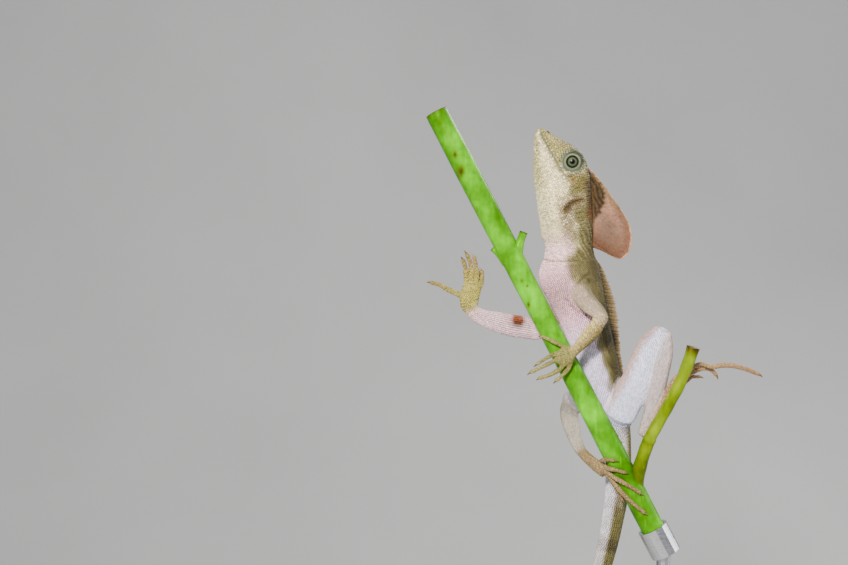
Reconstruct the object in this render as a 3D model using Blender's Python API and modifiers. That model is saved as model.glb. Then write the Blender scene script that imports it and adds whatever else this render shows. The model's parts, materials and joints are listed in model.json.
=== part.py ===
"""A basilisk lizard at life size, clinging head up to a cut length of green stem on a display stand.

Lengths are in millimetres until a mesh is made. The stand's underside is at Z 0 and its centre is the
origin. The animal's left side faces -Y, its back faces +X and its snout points up.
"""

import math

import bmesh
import bpy
import numpy as np
from mathutils import Matrix, Vector

MM = 0.001
GAP = 0.3
SEED = 7

# Spine from the snout to the tip of the tail
SPINE = np.array((
    (-33.5, 10.0, 575.2),
    (-26.9, 10.0, 560.1),
    (-21.2, 10.0, 540.2),
    (-17.2, 10.5, 519.8),
    (-15.6, 11.5, 500.4),
    (-12.0, 12.2, 483.5),
    (-6.3, 13.0, 465.0),
    (-0.2, 13.5, 445.0),
    (5.2, 14.2, 425.0),
    (10.0, 15.0, 404.2),
    (12.4, 15.5, 380.0),
    (8.5, 17.0, 345.0),
    (-3.0, 19.0, 300.0),
    (-15.5, 20.0, 255.0),
    (-20.5, 20.0, 209.0),
    (-14.0, 19.0, 163.0),
    (1.5, 17.5, 122.0),
    (18.5, 16.0, 86.0),
    (25.5, 14.5, 56.0),
    (16.0, 13.0, 33.5),
    (1.0, 12.0, 33.0),
))

# Distance from the snout, reach to the back, reach to the belly, half width, roundness of back and belly
TRUNK = np.array((
    (0.0, 0.9, 0.9, 1.6, 1.00, 1.00),
    (1.6, 2.6, 2.8, 3.3, 0.90, 0.95),
    (4.0, 4.4, 4.6, 4.5, 0.82, 0.90),
    (7.5, 6.2, 6.4, 5.4, 0.78, 0.90),
    (12.0, 9.8, 8.4, 6.9, 0.74, 0.92),
    (16.5, 13.9, 10.1, 8.9, 0.70, 0.94),
    (21.0, 16.9, 11.5, 10.4, 0.70, 0.95),
    (26.7, 18.2, 12.8, 11.2, 0.74, 0.96),
    (32.0, 17.9, 13.5, 11.8, 0.80, 0.96),
    (37.2, 17.3, 14.0, 12.6, 0.86, 0.96),
    (47.7, 15.8, 14.9, 13.0, 0.95, 0.98),
    (57.0, 14.7, 15.1, 11.7, 1.00, 1.00),
    (64.2, 14.3, 14.7, 11.1, 1.02, 1.00),
    (67.6, 14.0, 13.2, 10.8, 1.04, 1.00),
    (71.6, 14.0, 13.4, 10.8, 1.05, 1.00),
    (75.8, 14.5, 15.0, 11.2, 1.08, 1.00),
    (80.2, 15.1, 18.0, 11.8, 1.09, 1.00),
    (86.0, 15.6, 19.1, 12.5, 1.10, 1.00),
    (98.0, 15.3, 16.2, 13.2, 1.10, 1.00),
    (108.7, 14.2, 14.2, 13.3, 1.10, 1.00),
    (119.6, 12.8, 13.3, 13.0, 1.10, 1.00),
    (130.4, 11.8, 12.2, 12.4, 1.10, 1.00),
    (141.0, 11.2, 11.4, 12.0, 1.08, 1.00),
    (153.0, 10.8, 10.4, 11.8, 1.05, 1.00),
    (165.0, 10.3, 9.4, 11.4, 1.03, 1.00),
    (177.0, 9.4, 8.4, 9.8, 1.02, 1.00),
    (190.0, 8.2, 7.4, 7.7, 1.00, 1.00),
    (215.0, 6.9, 6.4, 6.4, 1.00, 1.00),
    (255.0, 5.4, 5.2, 5.1, 1.00, 1.00),
    (310.0, 4.2, 4.1, 4.0, 1.00, 1.00),
    (380.0, 3.1, 3.1, 3.0, 1.00, 1.00),
    (460.0, 2.2, 2.2, 2.1, 1.00, 1.00),
    (600.0, 1.1, 1.1, 1.1, 1.00, 1.00),
))

# Swellings and hollows: distance, angle from the back, height, spread along, spread round in degrees
HEAD_FORMS = (
    (22.5, 42.0, 1.4, 6.0, 13.0),
    (13.0, 68.0, -0.9, 4.5, 18.0),
    (24.5, 84.0, -0.7, 5.0, 14.0),
    (42.0, 104.0, 1.3, 8.0, 26.0),
    (34.0, 62.0, -0.8, 5.0, 18.0),
)

# Where the trunk is parted, as distances from the snout
NAPE_PLANE = 61.0
THROAT_FOLD = 77.5
VENT_PLANE = 180.0
TAIL_PLANES = (255.0, 340.0, 425.0, 510.0)
HEAD_SIDES = 24
TORSO_SIDES = 20
TAIL_SIDES = 14
HEAD_STATIONS = 20
NECK_STATIONS = 6
TORSO_STATIONS = 20
TAIL_STATIONS = 9
SPINE_STEPS = 1200
# The tail's last length narrows to this share of its size
TAIL_TIP = 6.0
TAIL_TIP_SHARE = 0.2
BACK_HINT = np.array((1.0, 0.0, 0.25))

# Eyes, ears, nostrils and mouth
EYE_AT = (24.45, 66.0)
EYE_RADIUS = 5.0
EYE_PROUD = 1.3
LID_RADIUS = 4.5
LID_THICKNESS = 1.1
LID_PROUD = 0.2
# How far an eye looks down and towards the tail from straight sideways
EYE_DOWN = 0.08
EYE_REARWARD = 0.03
EAR_AT = (47.3, 78.0)
EAR_RADIUS = 2.3
EAR_DEPTH = 0.9
EAR_RIM = 0.5
EAR_RIM_WIDER = 0.3
EAR_RIM_SUNK = 0.1
NOSTRIL_AT = (4.5, 43.0)
NOSTRIL_RADIUS = 0.7
MOUTH_LINE = np.array((
    (-36.0, 580.0), (-33.0, 573.3), (-31.4, 569.6), (-29.1, 564.6), (-26.2, 558.7), (-23.3, 553.4),
    (-20.4, 548.4), (-17.9, 544.4), (-17.8, 538.4), (-21.4, 532.2), (-40.0, 526.0),
))
LIP_DISTANCES = (2.6, 30.0)
LIP_RADIUS = 0.75
LIP_OFFSET = 0.95
LIP_STATIONS = 9
LIP_SIDES = 5
HALF_HEAD = 30.0

# Head crest, as points of its free edge from the crown round to the nape
CREST_EDGE = np.array((
    (-5.2, 553.0), (-0.6, 548.6), (4.2, 542.6), (10.6, 533.6), (15.9, 525.6), (18.8, 519.4),
    (19.7, 513.4), (19.0, 507.6), (17.2, 503.6), (13.7, 500.9), (9.6, 502.2), (5.1, 504.6), (-1.4, 507.6),
))
CREST_ROOT = np.array(((-9.5, 549.0), (-6.5, 530.0), (-6.0, 508.0)))
CREST_Y = 10.3
CREST_THICK_ROOT = 3.6
CREST_THICK_EDGE = 1.1
CREST_THINNING = 1.5
CREST_RAYS = 15
CREST_STEPS = 6

# Dorsal crest: where it runs, and its height at distances from the snout
DORSAL_RUN = (80.6, 176.0)
DORSAL_SPACING = 3.2
DORSAL_OVERLAP = 1.5
DORSAL_THICKNESS = 1.5
DORSAL_LEAN = 0.55
DORSAL_SUNK = 1.6
DORSAL_STRAY = 0.2
DORSAL_UNEVEN = (0.88, 1.08)
# Width of a crest scale at shares of its height, from its sunken root to just below its tip
DORSAL_PROFILE = ((-1.0, 1.0), (0.35, 0.92), (0.72, 0.62))
DORSAL_TIP = 0.12
DORSAL_HEIGHTS = np.array((
    (78.0, 1.2), (86.0, 2.6), (97.0, 4.6), (108.0, 5.4), (119.0, 4.9),
    (134.0, 2.9), (145.0, 2.0), (165.0, 1.4), (178.0, 1.0),
))

# Stem and twig of the perch
STEM_POINT = np.array((3.6, 0.0, 400.0))
STEM_LEAN = math.radians(27.5)
STEM_RADIUS = 6.5
STEM_TOP = 583.0
STEM_BOTTOM = 341.0
STEM_SIDES = 16
STEM_STATIONS = 14
STEM_SWELL = 0.03
STEM_SWELL_TURNS = 9.0
TWIG_SIDES = 12
TWIG_STATIONS = 12
TWIG = (
    (19.6, 1.5, 371.0, 4.6), (21.4, -5.0, 385.0, 3.9), (25.9, -10.5, 401.5, 3.5), (33.0, -14.0, 416.0, 3.3),
    (40.0, -17.4, 430.6, 3.3), (44.4, -19.8, 442.5, 3.4), (47.4, -21.4, 452.5, 3.6),
)
# Cut leaf stalks: height on the stem's axis, angle round it from the front, direction, radius, length
STALKS = (
    (503.0, -80.0, (0.34, -0.10, 0.93), 2.3, 9.0),
    (501.0, 96.0, (-0.70, 0.12, 0.70), 2.1, 8.0),
)
STALK_SUNK = 3.0
# Width of a stalk at shares of its length from its sunken root to its cut end
STALK_PROFILE = ((0.0, 1.7), (0.35, 1.25), (0.65, 0.98), (1.0, 1.02))

# Stand
BASE_RADIUS = 105.0
BASE_THICKNESS = 16.0
BASE_EDGE = 3.0
BASE_RIM = 8.0
BASE_DROP = 2.0
BASE_CHAMFER = 1.0
TURNED_STEPS = 48
ROUND_SIDES = 24
ROD_RADIUS = 4.0
CUP_RADIUS = 8.6
CUP_LENGTH = 16.0
CUP_DEPTH = 11.0

# Limbs: rows of x, y, z, half width, half depth
LEFT_UPPER_ARM = (
    (-13.5, 7.5, 487.0, 7.2, 6.8), (-11.0, 0.5, 482.0, 6.2, 5.8), (-7.4, -7.5, 475.8, 5.5, 4.8),
    (-2.8, -13.0, 470.8, 4.4, 4.2), (-1.4, -15.0, 468.2, 4.0, 4.0),
)
LEFT_FOREARM = (
    (-1.6, -15.0, 468.0, 3.3, 3.3), (-4.6, -14.2, 462.8, 4.1, 4.2), (-9.4, -13.0, 457.0, 3.9, 4.1),
    (-13.2, -11.8, 452.6, 3.2, 3.3), (-15.6, -11.0, 449.8, 2.9, 3.0),
)
RIGHT_UPPER_ARM = (
    (-11.5, 18.5, 481.0, 6.4, 6.4), (-18.0, 24.0, 474.0, 5.9, 5.6), (-25.5, 23.8, 466.0, 5.8, 5.2),
    (-31.5, 21.6, 461.0, 6.0, 5.0), (-34.5, 20.6, 460.2, 6.1, 4.8),
)
RIGHT_FOREARM = (
    (-34.0, 20.6, 460.4, 6.1, 4.6), (-41.0, 19.6, 461.7, 6.5, 4.6), (-49.5, 18.5, 463.2, 6.5, 4.4),
    (-57.1, 17.4, 465.2, 5.9, 4.1), (-64.4, 16.5, 467.4, 5.0, 3.6), (-69.8, 16.0, 469.8, 4.6, 3.4),
)
LEFT_THIGH = (
    (12.0, 7.6, 415.2, 10.2, 8.6), (16.0, 4.4, 422.6, 9.5, 8.0), (20.8, 1.5, 433.0, 8.3, 7.2),
    (25.0, -1.6, 445.4, 7.6, 6.5), (29.2, -4.5, 455.0, 6.6, 5.7), (31.8, -5.6, 458.6, 5.3, 5.0),
)
LEFT_SHANK = (
    (34.1, -5.6, 457.4, 5.2, 4.7), (34.5, -5.3, 451.6, 5.4, 5.3), (32.9, -3.6, 437.0, 5.0, 5.4),
    (29.8, -1.2, 420.0, 4.3, 4.3), (26.8, 1.6, 409.0, 3.7, 3.7), (25.2, 2.8, 403.6, 3.6, 3.6),
)
RIGHT_THIGH = (
    (11.0, 15.0, 411.0, 8.2, 7.6), (8.0, 25.0, 413.5, 8.8, 7.8), (2.5, 36.0, 415.0, 8.0, 7.2),
    (-3.5, 46.0, 416.3, 6.8, 6.2), (-8.2, 53.0, 416.8, 5.6, 5.3), (-9.8, 55.4, 416.6, 5.0, 4.9),
)
RIGHT_SHANK = (
    (-10.0, 55.0, 416.2, 4.3, 4.3), (-11.4, 50.0, 411.2, 5.1, 5.2), (-11.4, 40.0, 404.0, 5.2, 5.2),
    (-10.6, 30.0, 398.0, 4.3, 4.3), (-9.4, 22.0, 393.2, 3.7, 3.7), (-8.6, 18.0, 391.0, 3.5, 3.5),
)

# Palms and soles, then digits: rows of x, y, z, radius
LEFT_PALM = (
    (-15.2, -11.0, 450.2, 2.4, 2.4), (-17.6, -10.4, 448.9, 4.2, 2.7), (-20.6, -9.7, 447.0, 5.0, 2.3),
    (-23.6, -9.3, 445.6, 4.2, 1.7),
)
LEFT_FINGERS = (
    ((-17.5, -9.8, 449.6, 1.5), (-23.1, -8.9, 453.0, 1.2),
     (-28.6, -7.4, 455.8, 1.2), (-33.0, -2.4, 457.6, 1.0)),
    ((-19.5, -9.6, 449.0, 1.5), (-24.4, -8.8, 448.9, 1.15),
     (-30.3, -8.1, 446.1, 1.05), (-36.0, -6.4, 442.2, 0.95)),
    ((-19.5, -9.6, 446.8, 1.5), (-25.2, -9.3, 444.8, 1.2),
     (-32.0, -9.1, 441.6, 1.15), (-39.4, -7.6, 437.9, 0.98)),
    ((-18.5, -9.6, 446.2, 1.6), (-21.6, -9.0, 441.6, 1.3),
     (-27.4, -8.7, 437.3, 1.25), (-34.3, -6.6, 434.6, 1.0)),
    ((-17.0, -9.8, 446.4, 1.5), (-18.2, -9.1, 441.0, 1.25),
     (-21.2, -8.8, 437.2, 1.15), (-25.4, -8.0, 433.4, 1.0)),
)
RIGHT_PALM = (
    (-70.4, 16.0, 470.8, 3.7, 2.8), (-72.6, 15.4, 475.0, 5.2, 3.0), (-72.4, 14.8, 479.0, 5.5, 2.6),
    (-71.4, 14.4, 485.2, 5.0, 2.1),
)
RIGHT_FINGERS = (
    ((-74.5, 15.0, 479.0, 2.3), (-80.0, 14.9, 481.4, 1.75),
     (-85.2, 14.6, 483.9, 1.5), (-90.0, 14.2, 486.4, 1.4),
     (-94.6, 13.3, 487.6, 1.1)),
    ((-74.2, 14.6, 482.0, 1.8), (-74.2, 13.8, 489.5, 1.65),
     (-74.8, 12.8, 495.6, 1.5), (-76.2, 11.6, 500.2, 1.2)),
    ((-71.8, 14.5, 483.0, 1.8), (-71.3, 14.4, 492.0, 1.65),
     (-72.0, 14.6, 499.0, 1.5), (-74.0, 14.2, 503.8, 1.2)),
    ((-69.6, 14.8, 483.0, 1.7), (-68.4, 15.6, 491.0, 1.6),
     (-68.6, 17.0, 497.0, 1.4), (-69.6, 18.0, 502.2, 1.15)),
    ((-68.0, 15.4, 481.0, 1.6), (-65.9, 16.8, 487.0, 1.5),
     (-65.1, 18.0, 490.6, 1.4), (-65.4, 18.8, 493.8, 1.15)),
)
LEFT_SOLE = (
    (25.8, 2.4, 404.0, 2.9, 2.9), (28.6, 0.3, 408.6, 3.3, 2.8), (33.6, -3.4, 417.5, 3.6, 2.6),
    (38.8, -7.4, 427.5, 3.9, 2.4), (42.7, -9.6, 434.0, 3.8, 1.9),
)
LEFT_TOES = (
    ((39.0, -6.6, 428.0, 1.6), (43.6, -3.0, 433.0, 1.3),
     (47.0, -0.2, 436.2, 1.15), (49.6, 2.6, 436.4, 0.95)),
    ((40.0, -7.2, 428.6, 1.6), (46.1, -5.6, 432.2, 1.3),
     (50.8, -4.8, 435.2, 1.2), (54.6, -4.4, 435.2, 0.95)),
    ((40.6, -8.4, 430.0, 1.7), (48.6, -8.2, 437.4, 1.55),
     (56.5, -7.0, 439.8, 1.5), (63.0, -5.6, 437.4, 1.1)),
    ((41.0, -9.0, 431.0, 1.7), (47.0, -10.2, 438.8, 1.45),
     (53.6, -10.0, 442.7, 1.3), (60.4, -9.4, 441.0, 1.25),
     (66.8, -8.8, 442.0, 1.5), (79.0, -7.4, 439.9, 1.4), (87.0, -6.8, 436.8, 1.1)),
    ((33.4, -3.2, 417.2, 1.6), (36.5, 0.6, 421.6, 1.35), (39.4, 3.4, 426.6, 1.2), (41.6, 5.0, 431.2, 0.95)),
)
RIGHT_SOLE = (
    (-8.4, 17.4, 390.8, 2.9, 2.9), (-6.8, 14.0, 389.0, 3.5, 2.8), (-3.8, 9.0, 386.2, 3.9, 2.5),
    (-0.6, 4.0, 383.6, 4.3, 2.3), (1.0, 0.6, 382.0, 3.8, 1.9),
)
# Toes of the right foot: rows of height on the stem's axis, angle round it from the front, radius
RIGHT_TOE_WRAP = (
    ((391.0, 98.0, 1.5), (392.0, 66.0, 1.3), (391.6, 38.0, 1.15), (390.0, 16.0, 0.95)),
    ((389.0, 98.0, 1.6), (387.6, 62.0, 1.35), (385.6, 30.0, 1.2), (382.6, 2.0, 1.0)),
    ((387.0, 98.0, 1.7), (383.6, 64.0, 1.4), (379.4, 32.0, 1.3), (374.4, 4.0, 1.2), (370.0, -16.0, 1.0)),
    ((385.6, 100.0, 1.7), (380.0, 74.0, 1.45), (373.0, 50.0, 1.35), (366.4, 27.0, 1.25), (360.6, 6.0, 1.0)),
    ((386.0, 112.0, 1.6), (380.0, 112.0, 1.35), (374.0, 108.0, 1.2), (369.0, 102.0, 0.95)),
)
CLAW_LENGTH = 3.0
CLAW_HOOK = 1.1
CLAW_TIP = 0.16
DIGIT_SIDES = 6
KNUCKLE = 0.10
# Where the rings of a tube's rounded end lie, as shares of its radius
END_REACH = (0.96, 0.75, 0.42)

UPRIGHT = (0.0, 0.0, 1.0)
LEVEL = (1.0, 0.0, 0.0)
# For each hand and foot: the way its claws hook, and the way its palm is wide
GRIPS = {
    "left_hand": ((-0.3, 0.6, -0.6), (0.4, 0.0, 0.9)),
    "right_hand": ((-0.9, -0.5, 0.0), (1.0, 0.0, 0.0)),
    "left_foot": ((0.2, 0.1, -1.0), (0.85, 0.0, -0.5)),
    "right_foot": ((0.7, 0.6, -0.4), (0.3, 0.0, -0.95)),
}
PALM_SIDES = 10
PALM_STATIONS = 7

COLOURS = {
    "pale_skin": ((0.74, 0.70, 0.68), 0.55, 0.0),
    "olive_skin": ((0.42, 0.39, 0.26), 0.6, 0.0),
    "crest_skin": ((0.44, 0.26, 0.19), 0.6, 0.0),
    "eye": ((0.05, 0.06, 0.04), 0.1, 0.0),
    "green_bark": ((0.23, 0.45, 0.01), 0.35, 0.0),
    "twig_bark": ((0.28, 0.29, 0.03), 0.5, 0.0),
    "turned_wood": ((0.20, 0.11, 0.06), 0.4, 0.0),
    "steel": ((0.6, 0.6, 0.6), 0.3, 1.0),
}


def clear_scene():
    for item in list(bpy.data.objects):
        bpy.data.objects.remove(item, do_unlink=True)


def collection(name):
    made = bpy.data.collections.new(name)
    bpy.context.scene.collection.children.link(made)
    return made


def unit(vectors):
    return vectors / np.linalg.norm(vectors, axis=-1, keepdims=True)


def hermite(places, knots, values):
    """A smooth curve through the knots, with the slope at each knot taken from its two neighbours."""
    places = np.asarray(places, float)
    slopes = np.gradient(values, knots, axis=0)
    index = np.clip(np.searchsorted(knots, places, side="right") - 1, 0, len(knots) - 2)
    span = knots[index + 1] - knots[index]
    t = ((places - knots[index]) / span)[:, None]
    span = span[:, None]
    a, b = values[index], values[index + 1]
    return (
        (2 * t**3 - 3 * t**2 + 1) * a
        + (t**3 - 2 * t**2 + t) * span * slopes[index]
        + (3 * t**2 - 2 * t**3) * b
        + (t**3 - t**2) * span * slopes[index + 1]
    )


def through(rows, count):
    """The rows' values at evenly spaced places along the smooth path through their first three columns."""
    rows = np.asarray(rows, float)
    knots = np.concatenate([[0.0], np.cumsum(np.linalg.norm(np.diff(rows[:, :3], axis=0), axis=1))])
    return hermite(np.linspace(0.0, knots[-1], count), knots, rows)


def directions(path, hint):
    """Tangents of a path, and the two directions across it, the first as near to the hint as can be."""
    tangent = unit(np.gradient(path, axis=0))
    across = unit(hint - (tangent @ hint)[:, None] * tangent)
    return tangent, across, np.cross(tangent, across)


def closed_loft(name, rings, target):
    """A closed mesh over rings of equal numbers of points, with a flat face at each end."""
    count, sides = rings.shape[:2]
    low = (np.arange(count - 1)[:, None] * sides + np.arange(sides)).ravel()
    high = (np.arange(count - 1)[:, None] * sides + (np.arange(sides) + 1) % sides).ravel()
    quads = np.stack([low, high, high + sides, low + sides], axis=1).tolist()
    ends = [list(range(sides)), list(range((count - 1) * sides, count * sides))]
    mesh = bpy.data.meshes.new(name)
    mesh.from_pydata((rings.reshape(-1, 3) * MM).tolist(), [], quads + ends)
    return place_mesh(name, mesh, target)


def place_mesh(name, mesh, target):
    """An object for the mesh, with all faces pointing out."""
    work = bmesh.new()
    work.from_mesh(mesh)
    bmesh.ops.recalc_face_normals(work, faces=work.faces)
    work.to_mesh(mesh)
    work.free()
    made = bpy.data.objects.new(name, mesh)
    target.objects.link(made)
    return made


def bake(item):
    """Applies an object's modifiers to its mesh."""
    graph = bpy.context.evaluated_depsgraph_get()
    old = item.data
    new = bpy.data.meshes.new_from_object(item.evaluated_get(graph))
    item.modifiers.clear()
    item.data = new
    bpy.data.meshes.remove(old)


def islands(item):
    """The separate closed surfaces of a mesh, as lists of face indices, largest in volume first."""
    work = bmesh.new()
    work.from_mesh(item.data)
    work.faces.ensure_lookup_table()
    seen = set()
    found = []
    for start in work.faces:
        if start.index in seen:
            continue
        seen.add(start.index)
        group, queue = [], [start]
        while queue:
            face = queue.pop()
            group.append(face.index)
            for edge in face.edges:
                for other in edge.link_faces:
                    if other.index not in seen:
                        seen.add(other.index)
                        queue.append(other)
        size = 0.0
        for index in group:
            face = work.faces[index]
            size += face.calc_area() * face.normal.dot(face.calc_center_median())
        found.append((abs(size), group))
    work.free()
    found.sort(key=lambda pair: -pair[0])
    return [group for _, group in found]


def keep_faces(item, keep):
    work = bmesh.new()
    work.from_mesh(item.data)
    work.faces.ensure_lookup_table()
    keep = set(keep)
    bmesh.ops.delete(work, geom=[face for face in work.faces if face.index not in keep], context="FACES")
    work.to_mesh(item.data)
    work.free()


def keep_largest(item):
    groups = islands(item)
    if len(groups) > 1:
        keep_faces(item, groups[0])


def inflated(item, amount, target):
    """A copy of an object, each point moved out along its normal, as a cutter."""
    copy = bpy.data.objects.new(item.name + "_cutter", item.data.copy())
    target.objects.link(copy)
    copy.hide_render = True
    copy.display_type = "WIRE"
    for vertex in copy.data.vertices:
        vertex.co += vertex.normal * (amount * MM)
    return copy


def subtract(item, cutter, solver="EXACT"):
    step = item.modifiers.new("cut", "BOOLEAN")
    step.operation = "DIFFERENCE"
    step.solver = solver
    step.object = cutter
    bake(item)
    bpy.data.objects.remove(cutter, do_unlink=True)


def clear_of(item, others, cutters, gap=GAP * 1.2):
    """Cuts an object clear of the others by the gap, and keeps its largest piece."""
    for other in others:
        subtract(item, inflated(other, gap, cutters))
    keep_largest(item)


def unite(item, pieces, solver="EXACT"):
    """Joins the collection's objects to an object in one Boolean and removes them."""
    step = item.modifiers.new("join", "BOOLEAN")
    step.operation = "UNION"
    step.solver = solver
    step.operand_type = "COLLECTION"
    step.collection = pieces
    bake(item)
    for piece in list(pieces.objects):
        bpy.data.objects.remove(piece, do_unlink=True)
    bpy.data.collections.remove(pieces)
    keep_largest(item)


def colour(item, finish):
    """Gives an object its own material."""
    tint, roughness, metallic = COLOURS[finish]
    material = bpy.data.materials.new(item.name)
    material.use_nodes = True
    shader = material.node_tree.nodes["Principled BSDF"]
    shader.inputs["Base Color"].default_value = (*tint, 1.0)
    shader.inputs["Roughness"].default_value = roughness
    shader.inputs["Metallic"].default_value = metallic
    item.data.materials.clear()
    item.data.materials.append(material)
    item.data.shade_smooth()
    item.data.set_sharp_from_angle(angle=math.radians(40.0))


class Spine:
    """The line of the body from the snout to the tip of the tail, read by distance."""

    def __init__(self, points):
        steps = through(points, SPINE_STEPS)
        lengths = np.linalg.norm(np.diff(steps, axis=0), axis=1)
        self.distance = np.concatenate([[0.0], np.cumsum(lengths)])
        self.path = steps
        self.length = self.distance[-1]

    def at(self, distances):
        """Centres, tangents, directions to the back and directions to the animal's left."""
        distances = np.atleast_1d(np.asarray(distances, float))

        def read(where):
            return np.stack([np.interp(where, self.distance, self.path[:, k]) for k in range(3)], axis=1)

        reach = 1.5
        ahead = read(np.minimum(distances + reach, self.length))
        tangent = unit(ahead - read(np.maximum(distances - reach, 0.0)))
        back = unit(BACK_HINT - (tangent @ BACK_HINT)[:, None] * tangent)
        return read(distances), tangent, back, np.cross(tangent, back)


def power(value, exponent):
    return np.sign(value) * np.abs(value) ** exponent


def trunk_points(spine, distances, angles):
    """Points of the trunk's surface: angle 0 is the back, 90 degrees the animal's left, 180 the belly."""
    distances = np.atleast_1d(np.asarray(distances, float))
    angles = np.atleast_1d(np.asarray(angles, float))
    centre, _, back, left = spine.at(distances)
    scale = np.minimum(distances, TRUNK[-1, 0])
    row = hermite(scale, TRUNK[:, 0], TRUNK[:, 1:])
    end = np.clip((spine.length - distances) / TAIL_TIP, TAIL_TIP_SHARE, 1.0)[:, None]
    up, down, wide, round_back, round_belly = (row[:, k:k + 1] for k in range(5))
    cosine, sine = np.cos(angles)[None, :], np.sin(angles)[None, :]
    on_back = cosine > 0
    roundness = np.where(on_back, round_back, round_belly)
    high = np.where(on_back, up, down) * power(cosine, roundness) * end
    side = wide * power(sine, roundness) * end
    for where, angle, height, along, around in HEAD_FORMS:
        turn = np.degrees(np.arccos(np.clip(np.cos(np.abs(angles) - math.radians(angle)), -1, 1)))
        other = np.degrees(np.arccos(np.clip(np.cos(np.abs(angles) + math.radians(angle)), -1, 1)))
        turn = np.minimum(turn, other)[None, :]
        form = height * np.exp(-(((distances[:, None] - where) / along) ** 2) - (turn / around) ** 2)
        size = np.sqrt(high**2 + side**2) + 1e-9
        high, side = high * (1 + form / size), side * (1 + form / size)
    return centre[:, None] + high[..., None] * back[:, None] + side[..., None] * left[:, None]


def trunk_length(name, spine, start, end, stations, sides, target):
    """One length of the trunk between two planes across the spine."""
    low = start + (GAP / 2 if start > 0 else 0.0)
    high = end - (GAP / 2 if end < spine.length else 0.0)
    angles = np.arange(sides) * 2 * math.pi / sides
    return closed_loft(name, trunk_points(spine, np.linspace(low, high, stations), angles), target)


def surface_at(spine, distance, degrees):
    """A point of the trunk's surface with the direction out of it."""
    angle = math.radians(degrees)
    step = 0.05
    point, further = trunk_points(spine, [distance, distance + 1.0], [angle])[:, 0]
    beside = trunk_points(spine, [distance], [angle + step])[0, 0]
    centre = spine.at([distance])[0][0]
    out = unit(np.cross(further - point, beside - point))
    return point, out if out @ (point - centre) > 0 else -out


def tube(name, rows, target, hint=UPRIGHT, sides=10, stations=10, rounded=True):
    """A smooth tube through rows of x, y, z, half width and half depth, with rounded ends."""
    rows = np.asarray(rows, float)
    if rows.shape[1] == 4:
        rows = np.hstack([rows, rows[:, 3:4]])
    fine = through(rows, stations)
    path, wide, deep = fine[:, :3], fine[:, 3], fine[:, 4]
    tangent, across, other = directions(path, np.asarray(hint, float))
    if rounded:
        reach = np.array(END_REACH)
        shrink = np.sqrt(1.0 - reach**2)
        first, last = (wide[0] + deep[0]) / 2, (wide[-1] + deep[-1]) / 2
        before = path[0] - tangent[0] * (reach * first)[:, None]
        after = path[-1] + tangent[-1] * (reach[::-1] * last)[:, None]
        path = np.vstack([before, path, after])
        wide = np.concatenate([wide[0] * shrink, wide, wide[-1] * shrink[::-1]])
        deep = np.concatenate([deep[0] * shrink, deep, deep[-1] * shrink[::-1]])
        extra = len(reach)
        across = np.vstack([across[:1].repeat(extra, axis=0), across, across[-1:].repeat(extra, axis=0)])
        other = np.vstack([other[:1].repeat(extra, axis=0), other, other[-1:].repeat(extra, axis=0)])
    angle = np.arange(sides) * 2 * math.pi / sides
    rings = (
        path[:, None]
        + (wide[:, None] * np.cos(angle))[..., None] * across[:, None]
        + (deep[:, None] * np.sin(angle))[..., None] * other[:, None]
    )
    return closed_loft(name, rings, target)


def digit(name, rows, down, target):
    """A finger or toe with its claw: a tapering tube with two knuckles that ends in a hooked point."""
    rows = np.asarray(rows, float)
    path = through(rows, 3 * len(rows) - 4)
    path[:, 3] *= 1.0 + KNUCKLE * np.cos(np.linspace(0.0, 4.0 * math.pi, len(path)))
    ahead = unit(path[-1, :3] - path[-2, :3])
    down = np.asarray(down, float)
    down = unit(down - (down @ ahead) * ahead)
    tip = path[-1, :3]
    radius = path[-1, 3]
    claw = np.array((
        (*(tip + ahead * 0.5), radius * 0.82),
        (*(tip + ahead * 0.55 * CLAW_LENGTH + down * 0.1 * CLAW_HOOK), radius * 0.50),
        (*(tip + ahead * CLAW_LENGTH + down * CLAW_HOOK), CLAW_TIP),
    ))
    rows = np.vstack([path, claw])
    _, across, other = directions(rows[:, :3], down)
    angle = np.arange(DIGIT_SIDES) * 2 * math.pi / DIGIT_SIDES
    rings = rows[:, None, :3] + rows[:, None, 3:4] * (
        np.cos(angle)[None, :, None] * across[:, None] + np.sin(angle)[None, :, None] * other[:, None]
    )
    return closed_loft(name, rings, target)


def on_stem(height, degrees, reach):
    """A point at a distance from the stem's axis, by height on the axis and angle round it from the front."""
    lean = math.tan(STEM_LEAN)
    axis = STEM_POINT + np.array(((STEM_POINT[2] - height) * lean, 0.0, height - STEM_POINT[2]))
    front = np.array((0.0, -1.0, 0.0))
    left = np.array((-math.cos(STEM_LEAN), 0.0, -math.sin(STEM_LEAN)))
    angle = math.radians(degrees)
    return axis + reach * (math.cos(angle) * front + math.sin(angle) * left)


def primitive(make, name, target, **settings):
    """An object from one of the mesh primitives, moved into the target collection."""
    make(**settings)
    made = bpy.context.object
    made.name = name
    for holder in list(made.users_collection):
        holder.objects.unlink(made)
    target.objects.link(made)
    return made


def turn_to(item, direction):
    item.rotation_mode = "QUATERNION"
    item.rotation_quaternion = Vector(tuple(direction)).to_track_quat("Z", "Y")


def apply_place(item):
    bpy.context.view_layer.update()
    item.data.transform(item.matrix_world)
    item.matrix_world = Matrix.Identity(4)


def sphere(name, centre, radius, target, segments=16, rings=10, scale=(1, 1, 1), direction=(0, 0, 1)):
    made = primitive(
        bpy.ops.mesh.primitive_uv_sphere_add, name, target,
        segments=segments, ring_count=rings, radius=radius * MM, location=tuple(np.asarray(centre) * MM),
    )
    made.scale = scale
    turn_to(made, direction)
    apply_place(made)
    return made


def ring(name, centre, direction, radius, thickness, target, segments=20, sides=6):
    made = primitive(
        bpy.ops.mesh.primitive_torus_add, name, target,
        major_segments=segments, minor_segments=sides,
        major_radius=radius * MM, minor_radius=thickness * MM, location=tuple(np.asarray(centre) * MM),
    )
    turn_to(made, direction)
    apply_place(made)
    return made


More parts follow.
